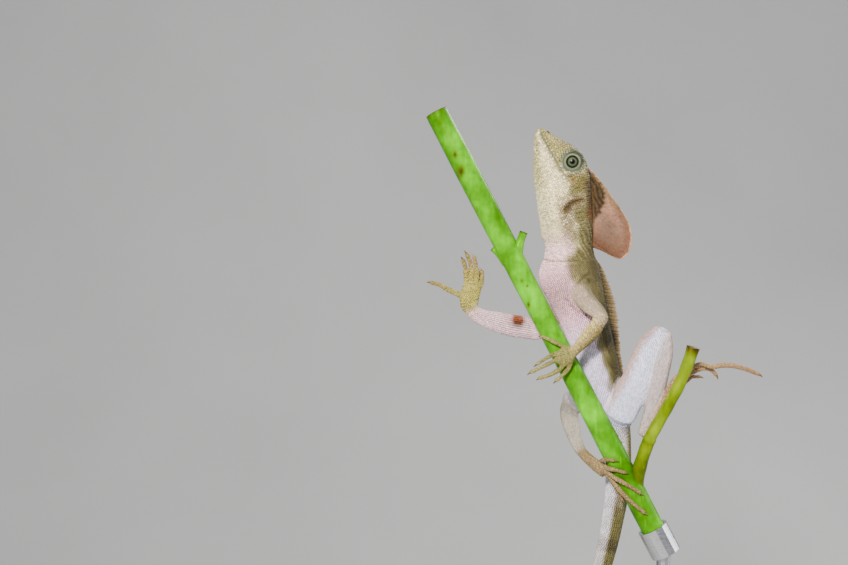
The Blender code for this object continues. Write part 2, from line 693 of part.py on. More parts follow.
def strip_prism(name, line, width, half_span, middle, target):
    """A thin wall that follows a line in the X Z plane and runs through the head from side to side."""
    tangent = unit(np.gradient(line, axis=0))
    normal = np.stack([-tangent[:, 1], tangent[:, 0]], axis=1) * width / 2
    outline = np.vstack([line + normal, (line - normal)[::-1]])
    near = np.insert(outline, 1, middle - half_span, axis=1)
    far = np.insert(outline, 1, middle + half_span, axis=1)
    count = len(line)
    mesh = bpy.data.meshes.new(name)
    total = 2 * count
    faces = [[k, (k + 1) % total, (k + 1) % total + total, k + total] for k in range(total)]
    for k in range(count - 1):
        cell = [k, k + 1, total - 2 - k, total - 1 - k]
        faces += [cell, [index + total for index in cell]]
    mesh.from_pydata((np.vstack([near, far]) * MM).tolist(), [], faces)
    return place_mesh(name, mesh, target)


def eye_place(spine, side):
    distance, degrees = EYE_AT
    point, _ = surface_at(spine, distance, degrees * side)
    _, along, back, left = spine.at([distance])
    out = unit(left[0] * side - back[0] * EYE_DOWN + along[0] * EYE_REARWARD)
    return point - out * (EYE_RADIUS - EYE_PROUD), out


def lip(name, spine, side, offset, target):
    """A ridge that follows the mouth line on one side of the head, above or below it."""
    distances = np.linspace(*LIP_DISTANCES, LIP_STATIONS)
    centre, _, back, _ = spine.at(distances)
    angles = np.radians(np.linspace(60.0, 178.0, 90)) * side
    rows = []
    mouth = MOUTH_LINE[1:8]
    for index, distance in enumerate(distances):
        across = trunk_points(spine, [distance], angles)[0]
        low = (across - centre[index]) @ back[index]
        order = np.argsort(mouth[:, 1])
        line_x = np.interp(centre[index][2], mouth[order, 1], mouth[order, 0])
        wanted = (line_x - centre[index][0]) * back[index][0] + offset
        place = across[np.argmin(np.abs(low - wanted))]
        rows.append((*place, LIP_RADIUS))
    tube(name, rows, target, hint=(1.0, 0.0, 0.2), sides=LIP_SIDES, stations=LIP_STATIONS, rounded=False)


def make_head(spine, parts, cutters):
    """Head and lower jaw, parted along the mouth, with lids, lips, nostrils and ears."""
    solver = "MANIFOLD"
    head = trunk_length("head", spine, 0.0, NAPE_PLANE, HEAD_STATIONS, HEAD_SIDES, parts)
    pieces = collection("head pieces")
    for side, word in ((1, "left"), (-1, "right")):
        eye, out = eye_place(spine, side)
        ring_at = eye + out * math.sqrt(EYE_RADIUS**2 - LID_RADIUS**2)
        ring("lids_" + word, ring_at + out * LID_PROUD, out, LID_RADIUS, LID_THICKNESS, pieces, 18, 6)
        ear, ear_out = surface_at(spine, EAR_AT[0], EAR_AT[1] * side)
        ring("ear_rim_" + word, ear - ear_out * EAR_RIM_SUNK, ear_out, EAR_RADIUS + EAR_RIM_WIDER, EAR_RIM,
             pieces, 14, 5)
        for offset in (LIP_OFFSET, -LIP_OFFSET):
            lip(f"lip_{word}_{offset}", spine, side, offset, pieces)
    unite(head, pieces, solver)
    for side, word in ((1, "left"), (-1, "right")):
        eye, out = eye_place(spine, side)
        socket = sphere("socket", eye, EYE_RADIUS + GAP, cutters, 14, 9, direction=out)
        subtract(head, socket, solver)
        ear, ear_out = surface_at(spine, EAR_AT[0], EAR_AT[1] * side)
        reach = (EAR_RADIUS**2 + EAR_DEPTH**2) / (2 * EAR_DEPTH)
        cup = sphere("ear", ear + ear_out * (reach - EAR_DEPTH), reach, cutters, 14, 9, direction=ear_out)
        subtract(head, cup, solver)
        nostril, nostril_out = surface_at(spine, NOSTRIL_AT[0], NOSTRIL_AT[1] * side)
        hole = sphere("nostril", nostril, NOSTRIL_RADIUS, cutters, 8, 6, direction=nostril_out)
        subtract(head, hole, solver)
    subtract(head, strip_prism("mouth", MOUTH_LINE, GAP, HALF_HEAD, spine.path[0][1], cutters), solver)
    groups = islands(head)
    jaw = bpy.data.objects.new("lower_jaw", head.data.copy())
    parts.objects.link(jaw)
    keep_faces(jaw, groups[1])
    keep_faces(head, groups[0])
    colour(head, "olive_skin")
    colour(jaw, "pale_skin")
    return head


def make_eyes(spine, parts):
    for side, word in ((1, "left"), (-1, "right")):
        eye, out = eye_place(spine, side)
        ball = sphere("eye_" + word, eye, EYE_RADIUS, parts, 14, 9, direction=out)
        colour(ball, "eye")


def make_head_crest(parts, cutters, head, neck):
    """The crest as a tapering vane: rays fan from its root to its free edge, thinner towards the edge."""
    edge_knots = np.concatenate([[0.0], np.cumsum(np.linalg.norm(np.diff(CREST_EDGE, axis=0), axis=1))])
    edge = hermite(np.linspace(0.0, edge_knots[-1], CREST_RAYS), edge_knots, CREST_EDGE)
    root_knots = np.array((0.0, 0.5, 1.0))
    root = hermite(np.linspace(0.0, 1.0, CREST_RAYS), root_knots, CREST_ROOT)
    share = np.linspace(0.0, 1.0, CREST_STEPS)
    sheet = root[:, None] * (1 - share[None, :, None]) + edge[:, None] * share[None, :, None]
    thick = (1 - share) ** CREST_THINNING
    half = (CREST_THICK_ROOT * thick + CREST_THICK_EDGE * (1 - thick)) / 2
    near = np.insert(sheet, 1, 0.0, axis=2)
    far = near.copy()
    near[..., 1] = CREST_Y - half
    far[..., 1] = CREST_Y + half
    rings = np.concatenate([near, far[:, ::-1]], axis=1)
    crest = closed_loft("head_crest", rings, parts)
    clear_of(crest, (head, neck), cutters)
    colour(crest, "crest_skin")


def dorsal_height(distance):
    return float(np.interp(distance, DORSAL_HEIGHTS[:, 0], DORSAL_HEIGHTS[:, 1]))


def crest_scale(name, root, along, back, left, height, target):
    """One scale of the crest: a four-sided blade that leans towards the tail and tapers to its tip."""
    lean = unit(back + DORSAL_LEAN * along)
    half_long, half_thick = DORSAL_SPACING * DORSAL_OVERLAP / 2, DORSAL_THICKNESS / 2
    rows = []
    for share, width in DORSAL_PROFILE:
        centre = root + (back * share * DORSAL_SUNK if share < 0 else lean * share * height)
        corners = (along * half_long, left * half_thick, -along * half_long, -left * half_thick)
        rows.append([centre + width * corner for corner in corners])
    tip = root + lean * height
    rows.append([tip + DORSAL_TIP * corner for corner in (along, left, -along, -left)])
    return closed_loft(name, np.array(rows), target)


def make_dorsal_crest(spine, torso):
    """The crest along the back, scale by scale, joined to the torso."""
    chance = np.random.default_rng(SEED)
    pieces = collection("dorsal crest")
    count = int((DORSAL_RUN[1] - DORSAL_RUN[0]) / DORSAL_SPACING)
    for number, distance in enumerate(np.linspace(*DORSAL_RUN, count)):
        place = distance + chance.uniform(-DORSAL_STRAY, DORSAL_STRAY)
        height = dorsal_height(place) * chance.uniform(*DORSAL_UNEVEN)
        _, along, back, left = (item[0] for item in spine.at([place]))
        root = trunk_points(spine, [place], [0.0])[0, 0]
        crest_scale(f"scale_{number}", root, along, back, left, height, pieces)
    unite(torso, pieces)


def make_extremity(name, palm, digits, parts, cutters, clear, finish):
    """A hand or foot: the palm with its five clawed digits, cut clear of what it grows from and grips."""
    down, wide = GRIPS[name]
    hand = tube(name, palm, parts, wide, PALM_SIDES, PALM_STATIONS)
    pieces = collection(name + " digits")
    for number, rows in enumerate(digits, 1):
        digit(f"{name}_digit_{number}", rows, down, pieces)
    unite(hand, pieces)
    clear_of(hand, clear, cutters)
    colour(hand, finish)


def make_perch(parts, cutters):
    """The stem with its cut leaf stalks, cut square at both ends, and the twig that forks from it."""
    heights = np.linspace(STEM_TOP, STEM_BOTTOM, STEM_STATIONS)
    middle = np.array([on_stem(height, 0.0, 0.0) for height in heights])
    swell = STEM_RADIUS * (1.0 + STEM_SWELL * np.sin(np.linspace(0.0, STEM_SWELL_TURNS, STEM_STATIONS)))
    rows = np.column_stack([middle, swell])
    stem = tube("perch_stem", rows, parts, (0, 1, 0), STEM_SIDES, STEM_STATIONS, rounded=False)
    pieces = collection("stalks")
    for number, (height, degrees, direction, radius, length) in enumerate(STALKS, 1):
        root = on_stem(height, degrees, STEM_RADIUS - STALK_SUNK)
        ahead = unit(np.asarray(direction))
        rows = [
            (*(root + ahead * share * (length + STALK_SUNK)), radius * width)
            for share, width in STALK_PROFILE
        ]
        tube(f"stalk_{number}", rows, pieces, (0, 1, 0), 10, 6, rounded=False)
    unite(stem, pieces)
    twig = tube("perch_twig", TWIG, parts, (1, 0, 0), TWIG_SIDES, TWIG_STATIONS, rounded=False)
    clear_of(twig, (stem,), cutters)
    colour(stem, "green_bark")
    colour(twig, "twig_bark")
    return stem, twig


def make_stand(parts, cutters, stem):
    """Turned base, upright rod, and the cup that holds the stem's lower end."""
    profile = [(0.0, BASE_THICKNESS), (BASE_RADIUS - BASE_RIM, BASE_THICKNESS)]
    for step in range(4):
        angle = math.pi / 2 * (1 - step / 3)
        profile.append((BASE_RADIUS - BASE_EDGE + BASE_EDGE * math.cos(angle),
                        BASE_THICKNESS - BASE_DROP - BASE_EDGE + BASE_EDGE * math.sin(angle)))
    profile += [(BASE_RADIUS, BASE_CHAMFER), (BASE_RADIUS - BASE_CHAMFER, 0.0), (0.0, 0.0)]
    mesh = bpy.data.meshes.new("stand_base")
    edges = [(k, k + 1) for k in range(len(profile) - 1)]
    mesh.from_pydata([(x * MM, 0.0, z * MM) for x, z in profile], edges, [])
    base = bpy.data.objects.new("stand_base", mesh)
    parts.objects.link(base)
    turn = base.modifiers.new("turned", "SCREW")
    turn.steps = turn.render_steps = TURNED_STEPS
    turn.use_merge_vertices = True
    turn.merge_threshold = 0.00001
    bake(base)

    axis = unit(on_stem(0.0, 0.0, 0.0) - on_stem(100.0, 0.0, 0.0))
    bottom = on_stem(STEM_BOTTOM, 0.0, 0.0)
    depth = CUP_LENGTH - CUP_DEPTH
    centre = bottom - axis * (CUP_DEPTH - CUP_LENGTH / 2 - GAP)
    cup = primitive(
        bpy.ops.mesh.primitive_cylinder_add, "stand_cup", parts,
        vertices=ROUND_SIDES, radius=CUP_RADIUS * MM, depth=CUP_LENGTH * MM, location=tuple(centre * MM),
    )
    turn_to(cup, axis)
    apply_place(cup)
    clear_of(cup, (stem,), cutters)

    foot = bottom + axis * depth / 2
    rod_top = foot[2]
    rod = primitive(
        bpy.ops.mesh.primitive_cylinder_add, "stand_rod", parts,
        vertices=ROUND_SIDES, radius=ROD_RADIUS * MM, depth=(rod_top - BASE_THICKNESS - GAP) * MM,
        location=(foot[0] * MM, foot[1] * MM, (rod_top + BASE_THICKNESS + GAP) / 2 * MM),
    )
    apply_place(rod)
    clear_of(rod, (cup,), cutters)
    colour(base, "turned_wood")
    colour(cup, "steel")
    colour(rod, "steel")


def main():
    clear_scene()
    parts = collection("basilisk")
    cutters = collection("cutters")
    spine = Spine(SPINE)
    stem, twig = make_perch(parts, cutters)
    make_stand(parts, cutters, stem)

    head = make_head(spine, parts, cutters)
    make_eyes(spine, parts)
    neck = trunk_length("neck", spine, NAPE_PLANE, THROAT_FOLD, NECK_STATIONS, TORSO_SIDES, parts)
    torso = trunk_length("torso", spine, THROAT_FOLD, VENT_PLANE, TORSO_STATIONS, TORSO_SIDES, parts)
    colour(neck, "pale_skin")
    make_dorsal_crest(spine, torso)
    colour(torso, "olive_skin")
    make_head_crest(parts, cutters, head, neck)
    planes = (VENT_PLANE, *TAIL_PLANES, spine.length)
    tails = []
    for number, (start, end) in enumerate(zip(planes[:-1], planes[1:]), 1):
        tails.append(trunk_length(f"tail_{number}", spine, start, end, TAIL_STATIONS, TAIL_SIDES, parts))
        colour(tails[-1], "olive_skin")

    trunk = (torso, tails[0], stem)

    def limb(name, rows, clear, finish, hint=UPRIGHT, sides=12, stations=9):
        made = tube(name, rows, parts, hint, sides, stations)
        clear_of(made, clear, cutters)
        colour(made, finish)
        return made

    left_arm = limb("left_upper_arm", LEFT_UPPER_ARM, trunk, "olive_skin")
    left_forearm = limb("left_forearm", LEFT_FOREARM, (torso, left_arm), "olive_skin")
    right_arm = limb("right_upper_arm", RIGHT_UPPER_ARM, trunk, "pale_skin")
    right_forearm = limb("right_forearm", RIGHT_FOREARM, (right_arm,), "pale_skin")
    left_thigh = limb("left_thigh", LEFT_THIGH, trunk, "pale_skin", LEVEL, 14, 10)
    left_shank = limb("left_shank", LEFT_SHANK, (left_thigh,), "pale_skin", LEVEL, 12, 10)
    right_thigh = limb("right_thigh", RIGHT_THIGH, trunk, "pale_skin", UPRIGHT, 14, 10)
    right_shank = limb("right_shank", RIGHT_SHANK, (right_thigh,), "pale_skin", LEVEL, 12, 10)

    def extremity(name, palm, digits, clear, finish):
        make_extremity(name, palm, digits, parts, cutters, clear, finish)

    grip = [
        [(*on_stem(height, degrees, STEM_RADIUS + GAP + radius), radius) for height, degrees, radius in toe]
        for toe in RIGHT_TOE_WRAP
    ]
    extremity("left_hand", LEFT_PALM, LEFT_FINGERS, (left_forearm, stem), "olive_skin")
    extremity("right_hand", RIGHT_PALM, RIGHT_FINGERS, (right_forearm,), "olive_skin")
    extremity("left_foot", LEFT_SOLE, LEFT_TOES, (left_shank, twig), "pale_skin")
    extremity("right_foot", RIGHT_SOLE, grip, (right_shank, stem), "pale_skin")


main()
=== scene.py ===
"""A pale basilisk lizard on its cut stem: skin, scales, crests, eyes, claws, perch, stand and studio.

The skin is one closed surface grown from tubes and a carried profile, and the scales are small closed
plates laid on it in rows. Lengths are in millimetres until a mesh is made, apart from the lights, the camera
and the materials' patterns, which are in metres. The picture's view looks along y, with x to its right.
"""

import json
import math

import bmesh
import bpy
import numpy as np
from mathutils.bvhtree import BVHTree
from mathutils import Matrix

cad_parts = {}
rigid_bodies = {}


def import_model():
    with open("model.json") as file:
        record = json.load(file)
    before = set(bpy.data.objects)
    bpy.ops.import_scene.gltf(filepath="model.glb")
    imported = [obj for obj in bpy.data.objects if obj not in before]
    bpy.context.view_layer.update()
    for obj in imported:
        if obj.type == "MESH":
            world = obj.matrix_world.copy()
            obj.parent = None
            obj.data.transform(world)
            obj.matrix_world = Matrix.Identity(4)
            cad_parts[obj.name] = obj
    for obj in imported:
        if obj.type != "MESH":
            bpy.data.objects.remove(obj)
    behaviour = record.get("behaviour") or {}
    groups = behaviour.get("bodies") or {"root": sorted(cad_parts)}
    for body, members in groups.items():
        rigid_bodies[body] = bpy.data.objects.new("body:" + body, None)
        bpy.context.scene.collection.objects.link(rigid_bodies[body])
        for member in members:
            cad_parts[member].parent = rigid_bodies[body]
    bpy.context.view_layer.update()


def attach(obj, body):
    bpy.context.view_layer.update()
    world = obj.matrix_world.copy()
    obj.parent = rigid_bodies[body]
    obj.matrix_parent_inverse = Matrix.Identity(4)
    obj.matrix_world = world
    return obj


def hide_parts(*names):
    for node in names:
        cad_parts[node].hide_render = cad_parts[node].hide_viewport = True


# One millimetre in metres, and the seed of all that is random
MM = 0.001
SEED = 11

# How a picture squeezes bright light, how strong the studio is, and the most light a surface sends back
SQUEEZE = 7.4
SQUEEZE_POWER = 3.75
STUDIO_LIGHT = 2.7
BRIGHTEST = 0.82
# Blue that the sheen adds
SHEEN_BLUE = 0.018

# Line of the body from the snout to the tip of the tail
SPINE = np.array((
    (-33.5, 10.0, 575.2), (-26.9, 10.0, 560.1), (-21.2, 10.0, 540.2), (-17.2, 10.5, 519.8),
    (-15.6, 11.5, 500.4), (-12.0, 12.2, 483.5), (-6.3, 13.0, 465.0), (-0.2, 13.5, 445.0),
    (5.2, 14.2, 425.0), (10.0, 15.0, 404.2), (12.4, 15.5, 380.0), (8.5, 17.0, 345.0),
    (-3.0, 19.0, 300.0), (-15.5, 20.0, 255.0), (-20.5, 20.0, 209.0), (-14.0, 19.0, 163.0),
    (1.5, 17.5, 122.0), (18.5, 16.0, 86.0), (25.5, 14.5, 56.0), (16.0, 13.0, 33.5), (1.0, 12.0, 33.0),
))

# Distance from the snout, reach to the back, reach to the belly, half width, roundness of back and belly
TRUNK = np.array((
    (0.0, 0.9, 0.9, 1.6, 1.00, 1.00), (1.6, 2.6, 2.8, 3.3, 0.90, 0.95), (4.0, 4.4, 4.6, 4.5, 0.82, 0.90),
    (7.5, 6.2, 6.4, 5.4, 0.78, 0.90), (12.0, 9.8, 8.4, 6.9, 0.74, 0.92), (16.5, 13.9, 10.1, 8.9, 0.70, 0.94),
    (21.0, 16.9, 11.5, 10.4, 0.70, 0.95), (26.7, 18.2, 12.8, 11.2, 0.74, 0.96),
    (32.0, 17.9, 13.5, 11.8, 0.80, 0.96), (37.2, 17.3, 14.0, 12.6, 0.86, 0.96),
    (47.7, 15.8, 14.9, 13.0, 0.95, 0.98), (57.0, 14.7, 15.1, 11.7, 1.00, 1.00),
    (64.2, 14.3, 14.7, 11.1, 1.02, 1.00), (67.6, 14.0, 13.2, 10.8, 1.04, 1.00),
    (71.6, 14.0, 13.4, 10.8, 1.05, 1.00), (75.8, 14.5, 15.0, 11.2, 1.08, 1.00),
    (80.2, 15.1, 18.0, 11.8, 1.09, 1.00), (86.0, 15.6, 19.1, 12.5, 1.10, 1.00),
    (98.0, 15.3, 16.2, 13.2, 1.10, 1.00),
    (108.7, 14.2, 14.2, 13.3, 1.10, 1.00), (119.6, 12.8, 13.3, 13.0, 1.10, 1.00),
    (130.4, 11.8, 12.2, 12.4, 1.10, 1.00), (141.0, 11.2, 11.4, 12.0, 1.08, 1.00),
    (153.0, 10.8, 10.4, 11.8, 1.05, 1.00), (165.0, 10.3, 9.4, 11.4, 1.03, 1.00),
    (177.0, 9.4, 8.4, 9.8, 1.02, 1.00), (190.0, 8.2, 7.4, 7.7, 1.00, 1.00),
    (215.0, 6.9, 6.4, 6.4, 1.00, 1.00), (255.0, 5.4, 5.2, 5.1, 1.00, 1.00),
    (310.0, 4.2, 4.1, 4.0, 1.00, 1.00), (380.0, 3.1, 3.1, 3.0, 1.00, 1.00),
    (460.0, 2.2, 2.2, 2.1, 1.00, 1.00), (600.0, 1.1, 1.1, 1.1, 1.00, 1.00),
))

# Swellings and hollows of the head: distance, degrees from the back, height, spread along, spread round
HEAD_FORMS = (
    (22.5, 42.0, 1.4, 6.0, 13.0), (13.0, 68.0, -0.9, 4.5, 18.0), (24.5, 84.0, -0.7, 5.0, 14.0),
    (42.0, 104.0, 1.3, 8.0, 26.0), (34.0, 62.0, -0.8, 5.0, 18.0),
)

# Distances from the snout where the neck starts, where its scales end, and of the vent
NECK_START = 61.0
NECK_END = 80.0
VENT = 180.0
# Length over which the tail's tip narrows, and the share it narrows to
TAIL_TIP = 6.0
TAIL_TIP_SHARE = 0.2
# A direction near the way the back faces, and the place of the head's middle plane
BACK_HINT = np.array((1.0, 0.0, 0.25))
MIDLINE = 10.1

# Eyes: distance and degrees from the back, radius, how far the ball stands out, how its look turns
EYE_AT = (24.45, 66.0)
EYE_RADIUS = 5.0
EYE_PROUD = 1.3
EYE_DOWN = 0.08
EYE_REARWARD = 0.03
# Lids: how far they reach from the eye's middle, and how high the skin under them lies
LID_REACH = 6.3
LID_SEAT = 1.1
# Ear: a line of x, z, its half width, how that narrows to the back, the cup's depth, and its dark hole
EAR_LINE = np.array(((-18.6, 528.2), (-16.8, 531.0), (-13.4, 532.8), (-9.6, 533.9)))
EAR_HALF = 2.0
EAR_NARROWS = 0.12
EAR_DEPTH = 0.45
EAR_HOLE = (-17.6, 529.6)
# Nostril: distance and degrees from the back
NOSTRIL_AT = (4.5, 43.0)
# Line of the mouth: x, z
MOUTH_LINE = np.array((
    (-33.0, 573.3), (-31.4, 569.6), (-29.1, 564.6), (-26.2, 558.7), (-23.3, 553.4), (-20.4, 548.4),
    (-17.9, 544.4),
))
# Skin folds behind the jaw: distance, depth, spread, first and last degrees from the back, slant
THROAT_FOLDS = (
    (77.0, 0.50, 0.70, 70.0, 180.0, -0.030), (66.6, 0.42, 0.8, 126.0, 180.0, -0.02),
    (60.0, 0.20, 0.6, 66.0, 122.0, -0.20), (63.2, 0.18, 0.6, 60.0, 124.0, -0.20),
    (57.0, 0.28, 0.7, 84.0, 150.0, -0.16), (54.2, 0.26, 0.6, 90.0, 154.0, -0.14),
    (67.0, 0.13, 0.7, 40.0, 104.0, -0.22), (70.6, 0.13, 0.7, 40.0, 100.0, -0.22),
    (51.6, 0.22, 0.6, 98.0, 150.0, -0.12),
)

# Limbs: rows of x, y, z, half width, half depth
LIMBS = {
    "left_upper_arm": (
        (-13.5, 7.5, 487.0, 7.2, 6.8), (-11.0, 0.5, 482.0, 6.2, 5.8), (-7.4, -7.5, 475.8, 5.5, 4.8),
        (-2.8, -13.0, 470.8, 4.4, 4.2), (-1.4, -15.0, 468.2, 4.0, 4.0),
    ),
    "left_forearm": (
        (-1.6, -15.0, 468.0, 3.3, 3.3), (-4.6, -14.2, 462.8, 4.1, 4.2), (-9.4, -13.0, 457.0, 3.9, 4.1),
        (-13.2, -11.8, 452.6, 3.2, 3.3), (-15.6, -11.0, 449.8, 2.9, 3.0),
    ),
    "right_upper_arm": (
        (-11.5, 18.5, 481.0, 6.4, 6.4), (-18.0, 24.0, 474.0, 5.9, 5.6), (-25.5, 23.8, 466.0, 5.8, 5.2),
        (-31.5, 21.6, 461.0, 6.0, 5.0), (-34.5, 20.6, 460.2, 6.1, 4.8),
    ),
    "right_forearm": (
        (-34.0, 20.6, 460.4, 6.1, 4.6), (-41.0, 19.6, 461.7, 6.5, 4.6), (-49.5, 18.5, 463.2, 6.5, 4.4),
        (-57.1, 17.4, 465.2, 5.9, 4.1), (-64.4, 16.5, 467.4, 5.0, 3.6), (-69.8, 16.0, 469.8, 4.6, 3.4),
    ),
    "left_thigh": (
        (12.3, 8.0, 415.0, 10.5, 8.8), (16.0, 4.4, 422.6, 9.5, 8.0), (20.8, 1.5, 433.0, 8.3, 7.2),
        (25.0, -1.6, 445.4, 7.6, 6.5), (29.2, -4.5, 455.0, 6.6, 5.7), (31.8, -5.6, 458.6, 5.3, 5.0),
    ),
    "left_shank": (
        (34.1, -5.6, 457.4, 5.2, 4.7), (34.5, -5.3, 451.6, 5.4, 5.3), (32.9, -3.6, 437.0, 5.0, 5.4),
        (29.8, -1.2, 420.0, 4.3, 4.3), (26.8, 1.6, 409.0, 3.7, 3.7), (25.2, 2.8, 403.6, 3.6, 3.6),
    ),
    "right_thigh": (
        (11.0, 15.0, 411.0, 8.2, 7.6), (8.0, 25.0, 413.5, 8.8, 7.8), (2.5, 36.0, 415.0, 8.0, 7.2),
        (-3.5, 46.0, 416.3, 6.8, 6.2), (-8.2, 53.0, 416.8, 5.6, 5.3), (-9.8, 55.4, 416.6, 5.0, 4.9),
    ),
    "right_shank": (
        (-10.0, 55.0, 416.2, 4.3, 4.3), (-11.4, 50.0, 411.2, 5.1, 5.2), (-11.4, 40.0, 404.0, 5.2, 5.2),
        (-10.6, 30.0, 398.0, 4.3, 4.3), (-9.4, 22.0, 393.2, 3.7, 3.7), (-8.6, 18.0, 391.0, 3.5, 3.5),
    ),
    "left_hand": (
        (-15.2, -11.0, 450.2, 2.4, 2.4), (-17.6, -10.4, 448.9, 4.2, 2.7), (-20.6, -9.7, 447.0, 5.0, 2.3),
        (-23.6, -9.3, 445.6, 4.2, 1.7),
    ),
    "right_hand": (
        (-70.4, 16.0, 470.8, 3.7, 2.8), (-72.6, 15.4, 475.0, 5.2, 3.0), (-72.4, 14.8, 479.0, 5.5, 2.6),
        (-71.4, 14.4, 485.2, 5.0, 2.1),
    ),
    "left_foot": (
        (25.8, 2.4, 404.0, 2.9, 2.9), (28.6, 0.3, 408.6, 3.3, 2.8), (33.6, -3.4, 417.5, 3.6, 2.6),
        (38.8, -7.4, 427.5, 3.9, 2.4), (42.7, -9.6, 434.0, 3.8, 1.9),
    ),
    "right_foot": (
        (-8.4, 17.4, 390.8, 2.9, 2.9), (-6.8, 14.0, 389.0, 3.5, 2.8), (-3.8, 9.0, 386.2, 3.9, 2.5),
        (-0.6, 4.0, 383.6, 4.3, 2.3), (1.0, 0.6, 382.0, 3.8, 1.9),
    ),
}
# The way each limb and palm is wide
WIDE = {
    "left_upper_arm": (0, 0, 1), "left_forearm": (0, 0, 1), "left_hand": (0.4, 0, 0.9),
    "right_upper_arm": (0, 0, 1), "right_forearm": (0, 0, 1), "right_hand": (1, 0, 0),
    "left_thigh": (1, 0, 0), "left_shank": (1, 0, 0), "left_foot": (0.85, 0, -0.5),
    "right_thigh": (0, 0, 1), "right_shank": (1, 0, 0), "right_foot": (0.3, 0, -0.95),
}
# The way each hand's and foot's claws hook
HOOK = {
    "left_hand": (-0.3, 0.6, -0.6), "right_hand": (-0.9, -0.5, 0.0),
    "left_foot": (0.2, 0.1, -1.0), "right_foot": (0.7, 0.6, -0.4),
}
# Digits, first to fifth: rows of x, y, z, radius
DIGITS = {
    "left_hand": (
        ((-17.5, -9.8, 449.6, 1.5), (-23.1, -8.9, 453.0, 1.2), (-28.6, -7.4, 455.8, 1.2),
         (-33.0, -2.4, 457.6, 1.0)),
        ((-19.5, -9.6, 449.0, 1.5), (-24.4, -8.8, 448.9, 1.15), (-30.3, -8.1, 446.1, 1.05),
         (-36.0, -6.4, 442.2, 0.95)),
        ((-19.5, -9.6, 446.8, 1.5), (-25.2, -9.3, 444.8, 1.2), (-32.0, -9.1, 441.6, 1.15),
         (-39.4, -7.6, 437.9, 0.98)),
        ((-18.5, -9.6, 446.2, 1.6), (-21.6, -9.0, 441.6, 1.3), (-27.4, -8.7, 437.3, 1.25),
         (-34.3, -6.6, 434.6, 1.0)),
        ((-17.0, -9.8, 446.4, 1.5), (-18.2, -9.1, 441.0, 1.25), (-21.2, -8.8, 437.2, 1.15),
         (-25.4, -8.0, 433.4, 1.0)),
    ),
    "right_hand": (
        ((-74.5, 15.0, 479.0, 2.3), (-80.0, 14.9, 481.4, 1.75), (-85.2, 14.6, 483.9, 1.5),
         (-90.0, 14.2, 486.4, 1.4),
         (-94.6, 13.3, 487.6, 1.1)),
        ((-74.2, 14.6, 482.0, 1.8), (-74.2, 13.8, 489.5, 1.65), (-74.8, 12.8, 495.6, 1.5),
         (-76.2, 11.6, 500.2, 1.2)),
        ((-71.8, 14.5, 483.0, 1.8), (-71.3, 14.4, 492.0, 1.65), (-72.0, 14.6, 499.0, 1.5),
         (-74.0, 14.2, 503.8, 1.2)),
        ((-69.6, 14.8, 483.0, 1.7), (-68.4, 15.6, 491.0, 1.6), (-68.6, 17.0, 497.0, 1.4),
         (-69.6, 18.0, 502.2, 1.15)),
        ((-68.0, 15.4, 481.0, 1.6), (-65.9, 16.8, 487.0, 1.5), (-65.1, 18.0, 490.6, 1.4),
         (-65.4, 18.8, 493.8, 1.15)),
    ),
    "left_foot": (
        ((39.0, -6.6, 428.0, 1.6), (43.6, -3.0, 433.0, 1.3), (47.0, -0.2, 436.2, 1.15),
         (49.6, 2.6, 436.4, 0.95)),
        ((40.0, -7.2, 428.6, 1.6), (46.1, -5.6, 432.2, 1.3), (50.8, -4.8, 435.2, 1.2),
         (54.6, -4.4, 435.2, 0.95)),
        ((40.4, -8.2, 429.8, 1.6), (48.7, -8.0, 437.4, 1.5), (56.5, -6.9, 440.1, 1.45),
         (61.6, -5.8, 438.6, 1.2),
         (63.8, -5.4, 436.2, 1.0)),
        ((41.0, -9.0, 431.0, 1.7), (47.0, -10.2, 438.8, 1.45), (53.6, -10.0, 442.7, 1.3),
         (60.4, -9.4, 441.0, 1.25),
         (66.8, -8.8, 442.0, 1.5), (79.0, -7.4, 439.9, 1.4), (87.0, -6.8, 436.8, 1.1)),
        ((33.4, -3.2, 417.2, 1.6), (36.5, 0.6, 421.6, 1.35), (39.4, 3.4, 426.6, 1.2),
         (41.6, 5.0, 431.2, 0.95)),
    ),
}
# Toes that wrap the stem: rows of height on its axis, degrees round it from the front, radius
WRAPPING_TOES = (
    ((391.0, 98.0, 1.5), (392.0, 66.0, 1.3), (391.6, 38.0, 1.15), (390.0, 16.0, 0.95)),
    ((389.0, 98.0, 1.6), (387.6, 62.0, 1.35), (385.6, 30.0, 1.2), (382.6, 2.0, 1.0)),
    ((387.0, 98.0, 1.7), (383.6, 64.0, 1.4), (379.4, 32.0, 1.3), (374.4, 4.0, 1.2), (370.0, -16.0, 1.0)),
    ((385.6, 100.0, 1.7), (380.0, 74.0, 1.45), (373.0, 50.0, 1.35), (366.4, 27.0, 1.25), (360.6, 6.0, 1.0)),
    ((386.0, 112.0, 1.6), (380.0, 112.0, 1.35), (374.0, 108.0, 1.2), (369.0, 102.0, 0.95)),
)
# How long a claw is and how far it hooks down
CLAW_LENGTH = 2.4
CLAW_HOOK = 0.9
# Gap between the wrapping toes and the stem
TOES_CLEAR = 0.3

# Head crest: its free edge and its root in the plane of x, z, and its place and thickness across
CREST_EDGE = np.array((
    (-5.2, 553.0), (-0.6, 548.6), (4.2, 542.6), (10.6, 533.6), (15.9, 525.6), (18.8, 519.4),
    (19.7, 513.4), (19.0, 507.6), (17.2, 503.6), (13.7, 500.9), (9.6, 502.2), (5.1, 504.6), (-1.4, 507.6),
))
CREST_ROOT = np.array(((-9.5, 549.0), (-6.5, 530.0), (-6.0, 508.0)))
CREST_Y = 10.3
CREST_THICK_ROOT = 3.6
CREST_THICK_EDGE = 0.9
